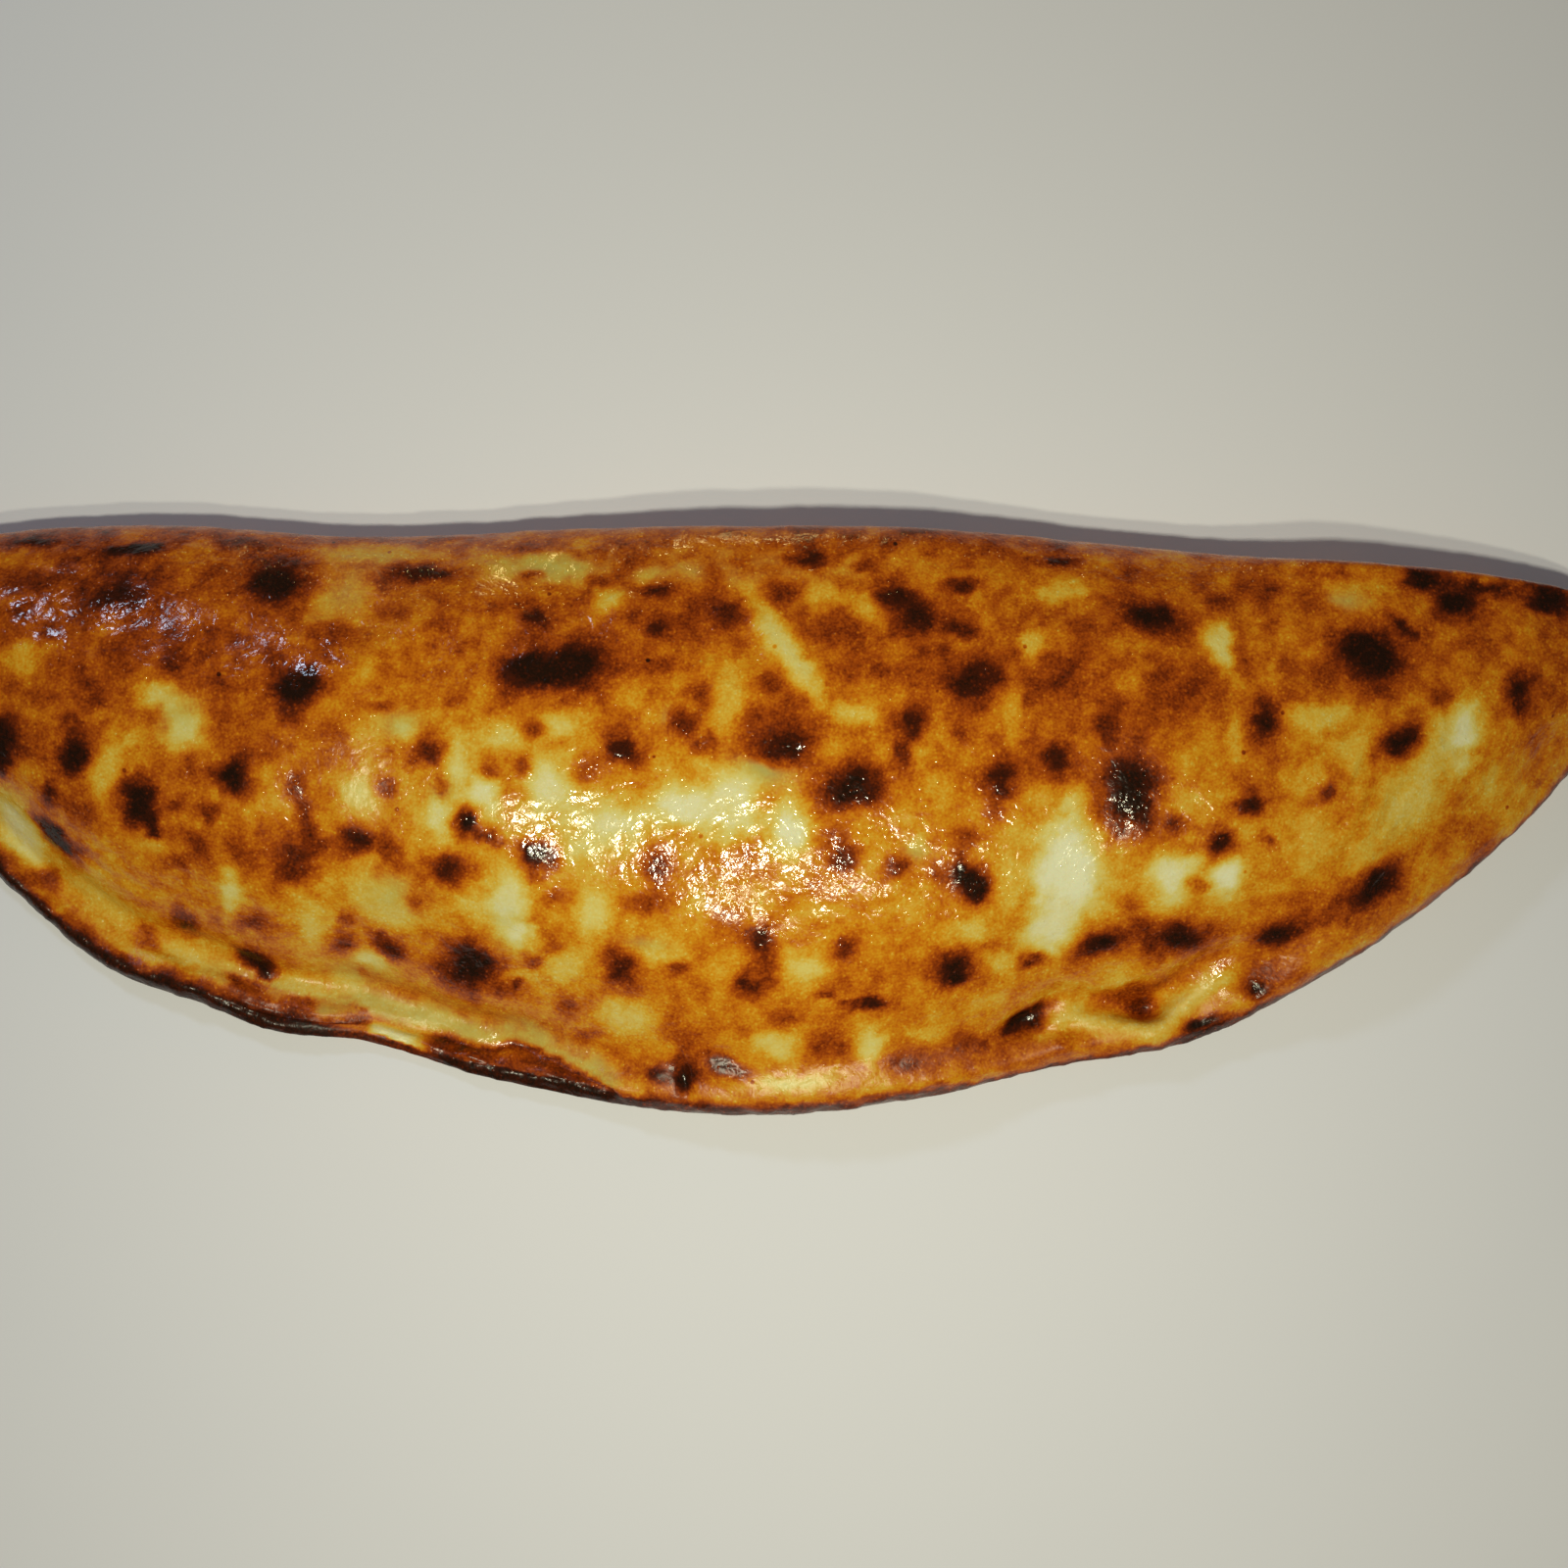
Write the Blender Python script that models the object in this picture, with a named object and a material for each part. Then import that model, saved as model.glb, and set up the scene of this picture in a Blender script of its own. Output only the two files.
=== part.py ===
"""A minced meat pide: an oval of dough folded along its length over a meat filling,
pressed shut along the curved front and baked. It is one solid, lying on its flat base.

Metres, +Z up. +X runs along the length, -Y points at the pressed lip and +Y at the fold.
The origin is the middle of the base.
"""

import math

import bmesh
import bpy
import numpy as np
from mathutils import Vector, noise

# Driving sizes, in metres
LENGTH = 0.340
CREST_HEIGHT = 0.031
LIP_WIDTH = 0.0098
LIP_THICKNESS = 0.0048
TIP_ROUNDING = 0.005
TIP_LIFT = 0.0025
TIP_LIFT_FROM = 0.120
LIP_CURL = 0.0014
CURL_LENGTH = 0.0125
CURL_CHANGE_LENGTH = 0.031
LUMP_HEIGHT = 0.0011
LUMP_LENGTH = 0.024

# Mesh fineness
STATIONS = 96
RING = 44

# The plan outline, from the left tip to the right one: the pressed lip, then the fold
FRONT_EDGE = (
    (-0.1700, 0.0310),
    (-0.1550, 0.0045),
    (-0.1385, -0.0115),
    (-0.1150, -0.0300),
    (-0.1020, -0.0344),
    (-0.0850, -0.0404),
    (-0.0720, -0.0416),
    (-0.0460, -0.0489),
    (0.0000, -0.0557),
    (0.0370, -0.0521),
    (0.0600, -0.0466),
    (0.0830, -0.0426),
    (0.1110, -0.0292),
    (0.1385, -0.0098),
    (0.1570, 0.0079),
    (0.1700, 0.0290),
)
BACK_EDGE = (
    (-0.1700, 0.0310),
    (-0.1620, 0.0470),
    (-0.1385, 0.0533),
    (-0.1020, 0.0542),
    (-0.0740, 0.0522),
    (-0.0300, 0.0533),
    (0.0050, 0.0529),
    (0.0330, 0.0527),
    (0.0650, 0.0509),
    (0.1020, 0.0471),
    (0.1385, 0.0445),
    (0.1570, 0.0417),
    (0.1700, 0.0290),
)
# Height of the crest along the length, as a share of CREST_HEIGHT
CREST_LINE = (
    (-0.1700, 0.16),
    (-0.1600, 0.39),
    (-0.1400, 0.66),
    (-0.1000, 0.88),
    (-0.0400, 0.98),
    (0.0100, 1.00),
    (0.0600, 0.96),
    (0.1100, 0.82),
    (0.1400, 0.62),
    (0.1600, 0.38),
    (0.1700, 0.16),
)
# How flat the front is pressed along the length: 1 is a thin lip, 0 a plain round edge
PRESSED_LINE = (
    (-0.1700, 0.80),
    (-0.1500, 1.00),
    (-0.1000, 1.00),
    (-0.0300, 0.95),
    (-0.0080, 0.60),
    (0.0350, 0.55),
    (0.0600, 0.85),
    (0.0900, 0.75),
    (0.1100, 0.10),
    (0.1300, 0.00),
    (0.1700, 0.00),
)
# Where fingers pressed the lip shut: place along the length, depth and half length
PRESSES = (
    (-0.1080, 0.0008, 0.0050),
    (-0.0930, 0.0010, 0.0045),
    (-0.0770, 0.0012, 0.0045),
    (-0.0560, 0.0010, 0.0060),
    (-0.0360, 0.0009, 0.0060),
    (-0.0110, 0.0010, 0.0040),
    (0.0040, 0.0008, 0.0045),
    (0.0280, 0.0006, 0.0060),
    (0.0550, 0.0014, 0.0050),
    (0.0770, 0.0015, 0.0055),
    (0.0960, 0.0011, 0.0045),
)

# The cross-section's knots, round from under the lip to the base. Those of the lip are
# (share of its width, share of its thickness), and of a round edge in its place (share of
# the lip's width, share of the crest's height). Those of the dome are (share of the way
# from the crease to the fold, share of the crest's height above the crease).
LIP_KNOTS = (
    (0.40, 0.00),
    (0.04, 0.22),
    (0.00, 0.58),
    (0.26, 1.00),
    (0.95, 0.72),
)
ROUND_EDGE_KNOTS = (
    (0.30, 0.00),
    (0.03, 0.09),
    (0.00, 0.23),
    (0.22, 0.42),
    (0.90, 0.62),
)
DOME_KNOTS = (
    (0.10, 0.36),
    (0.24, 0.75),
    (0.41, 0.96),
    (0.58, 1.00),
    (0.75, 0.91),
    (0.91, 0.66),
    (1.00, 0.32),
)
BASE_KNOTS = (0.975, 0.90, 0.60, 0.28)
FOLD_UNDERCUT = 0.06
KNOTS = len(LIP_KNOTS) + len(DOME_KNOTS) + len(BASE_KNOTS)
CREASE_KNOT = len(LIP_KNOTS) - 1
FOLD_KNOT = len(LIP_KNOTS) + len(DOME_KNOTS) - 1


def ease(low, high, value):
    """0 below low, 1 above high, and smooth in between."""
    t = np.clip((value - low) / (high - low), 0.0, 1.0)
    return t * t * (3.0 - 2.0 * t)


def mixed(low, high, share):
    """The value a share of the way from low to high."""
    return low + (high - low) * share


def cubic(before, start, end, after, t):
    """A Catmull-Rom curve from start to end, at the share t of the way."""
    bend = 2.0 * before - 5.0 * start + 4.0 * end - after
    twist = 3.0 * (start - end) + after - before
    return start + 0.5 * t * (end - before + t * (bend + t * twist))


def smooth_through(knots, values, at):
    """A cubic curve through the values at rising knots."""
    knots = np.asarray(knots)
    values = np.asarray(values)
    slopes = np.gradient(values, knots)
    i = np.clip(np.searchsorted(knots, at) - 1, 0, len(knots) - 2)
    gap = knots[i + 1] - knots[i]
    t = (at - knots[i]) / gap
    start = values[i] * (1.0 + 2.0 * t) + gap * slopes[i] * t
    end = values[i + 1] * (3.0 - 2.0 * t) + gap * slopes[i + 1] * (t - 1.0)
    return start * (1.0 - t) ** 2 + end * t**2


def turn_of(x):
    """The angle that a place along the length has on a circle as long as the pide.
    Outlines are smooth in it, so both tips come out round."""
    return np.arccos(np.clip(-2.0 * np.asarray(x) / LENGTH, -1.0, 1.0))


def along_outline(points, x):
    """The value of an outline or a line of (x, value) points at x."""
    places, values = zip(*points)
    return smooth_through(turn_of(places), values, turn_of(x))


def section_knots(x):
    """The closed cross-section's knots at each x, as (y, z) pairs in rows of KNOTS."""
    front = along_outline(FRONT_EDGE, x)
    width = along_outline(BACK_EDGE, x) - front
    into_tip = np.clip((np.abs(x) - LENGTH / 2 + TIP_ROUNDING) / TIP_ROUNDING, 0.0, 1.0)
    thinning = np.sqrt(1.0 - into_tip**2)
    crest = along_outline(CREST_LINE, x) * CREST_HEIGHT * thinning
    pressed = along_outline(PRESSED_LINE, x)
    lip_width = np.minimum(LIP_WIDTH, 0.22 * width)
    lip_thickness = LIP_THICKNESS * thinning
    dome_width = width - lip_width
    rows = []
    for (lip_across, lip_up), (round_across, round_up) in zip(LIP_KNOTS, ROUND_EDGE_KNOTS):
        across = mixed(round_across, lip_across, pressed)
        rows.append((across * lip_width, mixed(round_up * crest, lip_up * lip_thickness, pressed)))
    crease = rows[CREASE_KNOT][1]
    for across, up in DOME_KNOTS:
        rows.append((lip_width + across * dome_width, crease + up * (crest - crease)))
    for across in BASE_KNOTS:
        undercut = FOLD_UNDERCUT if across == BASE_KNOTS[0] else 0.0
        rows.append((lip_width + across * dome_width, undercut * crest))
    return np.stack([np.stack([front + across, up], -1) for across, up in rows], 1)


def body_points(x, turn):
    """Points of the plain body at places x along it and turns 0 to 1 round its section."""
    knots = section_knots(x)
    place = turn * KNOTS
    first = np.floor(place).astype(int)
    rows = np.arange(len(x))
    before, start, end, after = (knots[rows, (first + k) % KNOTS] for k in (-1, 0, 1, 2))
    points = cubic(before, start, end, after, (place - first)[:, None])
    return np.column_stack([x, points[:, 0], np.maximum(points[:, 1], 0.0)])


def lumps(points):
    """How far the filling pushes the top crust up at each point."""
    heights = [
        noise.noise(Vector((x, y, 0.4)) / LUMP_LENGTH)
        + 0.4 * noise.noise(Vector((x, y, 0.9)) / LUMP_LENGTH * 2.3)
        for x, y in points[:, :2]
    ]
    return LUMP_HEIGHT * np.array(heights)


def shaped(points, turn):
    """The body with its filling's lumps, pressed lip, curled edge and lifted tips."""
    x, y, z = points.T
    knot = turn * KNOTS
    on_dome = ease(CREASE_KNOT, CREASE_KNOT + 2, knot) * ease(FOLD_KNOT, FOLD_KNOT - 2, knot)
    z = z + on_dome * lumps(points)
    inward = (y - along_outline(FRONT_EDGE, x)) / LIP_WIDTH
    on_lip = ease(1.5, 0.9, inward) * ease(1.2, 2.4, knot) * ease(CREASE_KNOT + 1.5, CREASE_KNOT, knot)
    for place, depth, reach in PRESSES:
        z = z - depth * on_lip * np.exp(-(((x - place) / reach) ** 2))
    curl = LIP_CURL * (0.5 + 0.5 * np.sin(x / CURL_LENGTH) * np.sin(x / CURL_CHANGE_LENGTH + 1.0))
    z = z + curl * ease(1.1, 0.0, inward)
    z = z + TIP_LIFT * ease(TIP_LIFT_FROM, LENGTH / 2, np.abs(x)) ** 1.5
    return np.column_stack([x, y, z])


def pide_mesh():
    """A ball, its poles at the two tips, drawn out into the pide."""
    bm = bmesh.new()
    bmesh.ops.create_uvsphere(bm, u_segments=RING, v_segments=STATIONS, radius=1.0)
    ball = np.array([vert.co for vert in bm.verts])
    share = 2.0 * np.arccos(np.clip(ball[:, 2], -1.0, 1.0)) / math.pi - 1.0
    turn = np.arctan2(ball[:, 1], ball[:, 0]) / (2.0 * math.pi) % 1.0
    x = LENGTH / 2 * (share * 15.0 - share**15) / 14.0
    points = shaped(body_points(x, turn), turn)
    low, high = points.min(0), points.max(0)
    points -= [(low[0] + high[0]) / 2, (low[1] + high[1]) / 2, low[2]]
    for vert, place in zip(bm.verts, points):
        vert.co = place
    bmesh.ops.recalc_face_normals(bm, faces=bm.faces)
    mesh = bpy.data.meshes.new("pide")
    bm.to_mesh(mesh)
    bm.free()
    mesh.shade_smooth()
    return mesh


def crust_material():
    """Golden brown baked dough with a little oil on it."""
    material = bpy.data.materials.new("baked_crust")
    material.use_nodes = True
    shader = material.node_tree.nodes["Principled BSDF"]
    shader.inputs["Base Color"].default_value = (0.47, 0.17, 0.02, 1.0)
    shader.inputs["Roughness"].default_value = 0.4
    shader.inputs["Metallic"].default_value = 0.0
    return material


def main():
    for obj in list(bpy.data.objects):
        bpy.data.objects.remove(obj)
    collection = bpy.data.collections.new("minced_meat_pide")
    bpy.context.scene.collection.children.link(collection)
    pide = bpy.data.objects.new("pide", pide_mesh())
    pide.data.materials.append(crust_material())
    collection.objects.link(pide)


main()
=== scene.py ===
"""The look of a closed minced meat pide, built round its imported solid.

The dough is one skin: a low dome over the filling, a rounded fold along the back and a
pressed lip along the front. How far each point of it is baked is worked out from the
scorches and pale patches that the oven left, and the finish turns that into colour, gloss
and grain. Lengths are in metres, except where millimetres are named.
"""

import logging
import math
from dataclasses import dataclass
from enum import Enum
from typing import Callable, Union

import bmesh
import bpy
import numpy as np
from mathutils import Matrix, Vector, noise

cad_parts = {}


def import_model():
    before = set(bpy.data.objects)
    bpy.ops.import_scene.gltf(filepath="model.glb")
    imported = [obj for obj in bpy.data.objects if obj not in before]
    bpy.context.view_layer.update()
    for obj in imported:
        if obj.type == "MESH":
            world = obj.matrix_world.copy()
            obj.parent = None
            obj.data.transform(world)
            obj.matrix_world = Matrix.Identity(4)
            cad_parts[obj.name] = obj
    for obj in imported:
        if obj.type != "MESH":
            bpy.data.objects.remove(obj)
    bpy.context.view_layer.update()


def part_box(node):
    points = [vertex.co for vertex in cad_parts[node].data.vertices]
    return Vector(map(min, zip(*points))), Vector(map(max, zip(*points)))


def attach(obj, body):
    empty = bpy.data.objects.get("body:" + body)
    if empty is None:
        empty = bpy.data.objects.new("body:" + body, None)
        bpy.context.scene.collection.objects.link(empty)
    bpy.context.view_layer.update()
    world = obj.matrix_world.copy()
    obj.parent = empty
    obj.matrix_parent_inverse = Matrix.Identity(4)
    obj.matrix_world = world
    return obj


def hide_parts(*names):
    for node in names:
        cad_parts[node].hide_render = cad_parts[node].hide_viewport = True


LOG = logging.getLogger("pide")
NODE = "pide"
SLOT = "baked_crust"
MM = 0.001
Array = np.ndarray
Colour = tuple[float, float, float]
Span = tuple[float, float]
Line = tuple[Span, ...]
Rows = tuple[tuple[float, ...], ...]


# ------------------------------ shader sums


class Sum(Enum):
    """The sums that a Math node does here."""

    ADD = "ADD"
    SUBTRACT = "SUBTRACT"
    MULTIPLY = "MULTIPLY"
    DIVIDE = "DIVIDE"


@dataclass
class Wire:
    """A socket that takes part in Python sums. Each sum adds a Math node to its board."""

    board: "Board"
    socket: bpy.types.NodeSocket

    def _sum(self, operation: Sum, first: "Value", second: "Value") -> "Wire":
        """A Math node's result for two values."""
        settings = {"operation": operation.value}
        return self.board.add("ShaderNodeMath", settings, {0: first, 1: second})

    def __add__(self, other: "Value") -> "Wire":
        """The sum of both."""
        return self._sum(Sum.ADD, self, other)

    def __sub__(self, other: "Value") -> "Wire":
        """This less the other."""
        return self._sum(Sum.SUBTRACT, self, other)

    def __rsub__(self, other: "Value") -> "Wire":
        """The other less this."""
        return self._sum(Sum.SUBTRACT, other, self)

    def __mul__(self, other: "Value") -> "Wire":
        """The product of both."""
        return self._sum(Sum.MULTIPLY, self, other)

    def __truediv__(self, other: "Value") -> "Wire":
        """This divided by the other."""
        return self._sum(Sum.DIVIDE, self, other)

    __radd__ = __add__
    __rmul__ = __mul__

    def clipped(self) -> "Wire":
        """This held between 0 and 1."""
        return self.board.add("ShaderNodeClamp", {}, {"Value": self})

    def step(self, low: float, high: float) -> "Wire":
        """A smooth step over this value.

        Args:
            low: Where the step starts, at 0.
            high: Where it ends, at 1.

        Returns:
            The step's height.
        """
        settings = {"interpolation_type": "SMOOTHSTEP"}
        inputs = {"Value": self, "From Min": low, "From Max": high}
        return self.board.add("ShaderNodeMapRange", settings, inputs)


Value = Union[Wire, float]
Shake = Union[Array, float]
Stops = tuple[tuple[float, Colour], ...]


@dataclass
class Board:
    """A material's node tree, with one way of adding a node to it."""

    tree: bpy.types.NodeTree
    # Brings a grain to about 1 high and low
    grain_swing: float = 3.0

    def add(self, kind: str, settings: dict, inputs: dict, output: Union[int, str] = 0) -> Wire:
        """Adds a node.

        Args:
            kind: The node's type.
            settings: Its own settings, set first; "stops" fills a ramp.
            inputs: A value or a wire for each named or numbered input.
            output: The output that is wanted.

        Returns:
            That output.
        """
        node = self.tree.nodes.new(kind)
        for name, setting in settings.items():
            if name == "stops":
                self._fill_ramp(node.color_ramp, setting)
            else:
                setattr(node, name, setting)
        self.connect(node, inputs)
        return Wire(self, node.outputs[output])

    def connect(self, node: bpy.types.Node, inputs: dict) -> None:
        """Gives a node its values and links.

        Args:
            node: The node.
            inputs: A value or a wire for each named or numbered input.
        """
        for name, value in inputs.items():
            if isinstance(value, Wire):
                self.tree.links.new(value.socket, node.inputs[name])
            else:
                node.inputs[name].default_value = value

    @staticmethod
    def _fill_ramp(ramp: bpy.types.ColorRamp, stops: Stops) -> None:
        """Sets a colour ramp's stops.

        Args:
            ramp: The ramp.
            stops: The place and colour of each stop, in order.
        """
        while len(ramp.elements) < len(stops):
            ramp.elements.new(1.0)
        for element, (place, colour) in zip(ramp.elements, stops):
            element.position = place
            element.color = (*colour, 1.0)

    def place(self) -> Wire:
        """Where a point is on the piece, in metres."""
        return self.add("ShaderNodeTexCoord", {}, {}, "Object")

    def painted(self, name: str) -> Wire:
        """A value painted on the mesh under this name."""
        return self.add("ShaderNodeAttribute", {"attribute_name": name}, {}, "Fac")

    def grain(
        self, size: float, detail: float = 2.0, rough: float = 0.5, warp: float = 0.0
    ) -> Wire:
        """Cloudy noise round 0, about 1 high and low.

        Args:
            size: The size of its clouds, in metres.
            detail: How many finer octaves it has.
            rough: How strong they are.
            warp: How much it is swirled.

        Returns:
            The noise.
        """
        inputs = {"Vector": self.place(), "Scale": 1.0 / size, "Detail": detail}
        inputs |= {"Roughness": rough, "Distortion": warp}
        return (self.add("ShaderNodeTexNoise", {}, inputs) - 0.5) * self.grain_swing

    def grains(self, rows: Rows) -> Wire:
        """Grains added up, each a row of its strength and then the values of grain."""
        return sum(self.grain(*row) * strength for strength, *row in rows)

    def cells(self, spacing: float) -> Wire:
        """How far each place is from the nearest of many points, as a share of their spacing."""
        inputs = {"Vector": self.place(), "Scale": 1.0 / spacing}
        return self.add("ShaderNodeTexVoronoi", {}, inputs, "Distance")


def new_finish(name: str) -> tuple[bpy.types.Material, Board, bpy.types.Node]:
    """A new material with a shader.

    Args:
        name: Its name.

    Returns:
        The material, its board and its shader.
    """
    material = bpy.data.materials.new(name)
    material.use_nodes = True
    return material, Board(material.node_tree), material.node_tree.nodes["Principled BSDF"]


# ------------------------------ pieces of the scene


def new_mesh(name: str, maker: Callable, **sizes: float) -> bpy.types.Mesh:
    """A mesh made by one of bmesh's makers.

    Args:
        name: Its name.
        maker: The maker.
        sizes: What the maker is told.

    Returns:
        The mesh.
    """
    bm = bmesh.new()
    maker(bm, **sizes)
    mesh = bpy.data.meshes.new(name)
    bm.to_mesh(mesh)
    bm.free()
    return mesh


def placed(name: str, data: bpy.types.ID) -> bpy.types.Object:
    """A new object in the scene.

    Args:
        name: Its name.
        data: Its mesh, light or camera.

    Returns:
        The object.
    """
    item = bpy.data.objects.new(name, data)
    bpy.context.scene.collection.objects.link(item)
    return item


# ------------------------------ working in numbers


def ease(low: float, high: float, value: Array) -> Array:
    """A smooth step.

    Args:
        low: Where it is 0.
        high: Where it is 1; it may be below low.
        value: The values.

    Returns:
        The step's height at each value.
    """
    t = np.clip((value - low) / (high - low), 0.0, 1.0)
    return t * t * (3.0 - 2.0 * t)


def between(rise: Span, fall: Span, value: Array) -> Array:
    """A smooth step up over one span, times a smooth step down over another."""
    return ease(*rise, value) * ease(*fall, value)


def ridge(middle: float, width: float, value: Array) -> Array:
    """A soft ridge, 1 high at its middle."""
    return np.exp(-(((value - middle) / width) ** 2))


def turned(x: Array, y: Array, degrees: float) -> tuple[Array, Array]:
    """How far along and across a direction places lie."""
    along, across = math.cos(math.radians(degrees)), math.sin(math.radians(degrees))
    return x * along + y * across, y * along - x * across


def mixed(low: Array, high: Array, share: Array) -> Array:
    """The value a share of the way from low to high."""
    return low + (high - low) * share


def smooth_through(knots: Array, values: Array, at: Array) -> Array:
    """A cubic curve through values at rising knots.

    Args:
        knots: The knots.
        values: The value at each.
        at: Where the curve is wanted.

    Returns:
        The curve there.
    """
    slopes = np.gradient(values, knots)
    i = np.clip(np.searchsorted(knots, at) - 1, 0, len(knots) - 2)
    gap = knots[i + 1] - knots[i]
    t = (at - knots[i]) / gap
    start = values[i] * (1.0 + 2.0 * t) + gap * slopes[i] * t
    end = values[i + 1] * (3.0 - 2.0 * t) + gap * slopes[i + 1] * (t - 1.0)
    return start * (1.0 - t) ** 2 + end * t**2


class Clouds:
    """Smooth random waves in space, the same on every run."""

    # After how many cells they repeat, what makes them 1 high, how far finer ones shift
    cycle: int = 256
    swing: float = 1.5
    shift: float = 37.0

    def __init__(self, seed: int) -> None:
        """Draws the waves' slopes.

        Args:
            seed: The number that sets them.
        """
        rng = np.random.default_rng(seed)
        self.order = rng.permutation(self.cycle)
        slopes = rng.normal(size=(self.cycle, 3))
        self.slopes = slopes / np.linalg.norm(slopes, axis=1)[:, None]

    def at(self, points: Array, size: float) -> Array:
        """The waves at some points.

        Args:
            points: The points, one to a row.
            size: The waves' size, in the points' own unit.

        Returns:
            Their height, about 1 high and low.
        """
        cell = np.floor(points / size).astype(int)
        inside = points / size - cell
        fade = inside**3 * (inside * (inside * 6.0 - 15.0) + 10.0)
        total = np.zeros(len(points))
        for corner in np.ndindex(2, 2, 2):
            a, b, c = (cell + corner).T
            turn = self.order[a % self.cycle]
            turn = self.order[(turn + b) % self.cycle]
            turn = self.order[(turn + c) % self.cycle]
            rise = np.einsum("ij,ij->i", self.slopes[turn], inside - corner)
            total += rise * np.prod(np.where(corner, fade, 1.0 - fade), axis=1)
        return total * self.swing

    def fine(self, points: Array, size: float, octaves: int = 3) -> Array:
        """The waves with ever finer ones on them, in this many sizes."""
        waves = (self.at(points + self.shift * k, size / 2.0**k) / 2.0**k for k in range(octaves))
        return sum(waves)


@dataclass(frozen=True)
class Patch:
    """An oval place on the crust seen from above, in millimetres."""

    x: float
    y: float
    length: float
    width: float
    strength: float = 1.0
    turn: float = 0.0

    def reach(self, x: Array, y: Array, shake: Shake = 0.0) -> Array:
        """How far out in the oval points lie.

        Args:
            x: Places along the pide, in millimetres.
            y: Places across it.
            shake: How far its edge is drawn in at each point, in millimetres.

        Returns:
            0 at the middle, 1 on the edge and more outside.
        """
        along, across = turned(x - self.x, y - self.y, self.turn)
        out = np.hypot(along / (self.length / 2.0), across / (self.width / 2.0))
        mean_radius = (self.length + self.width) / 4.0
        return np.maximum(out + shake / mean_radius, 0.0)

    def cover(
        self, x: Array, y: Array, fall: float = 1.4, power: float = 2.0, shake: Shake = 0.0
    ) -> Array:
        """How fully the oval covers points, from 1 at the middle to 0 outside."""
        return np.exp(-fall * self.reach(x, y, shake) ** power)

    def hill(self, x: Array, y: Array) -> Array:
        """A soft hill over the oval, as high as its strength at the middle."""
        return self.strength * self.cover(x, y)


def patches(rows: Rows) -> list[Patch]:
    """The patches that rows of their values stand for."""
    return [Patch(*row) for row in rows]


def hills(rows: Rows, x: Array, y: Array) -> Array:
    """The hills of all these patches, added up."""
    return sum(patch.hill(x, y) for patch in patches(rows))


# ------------------------------ the shape


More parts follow.
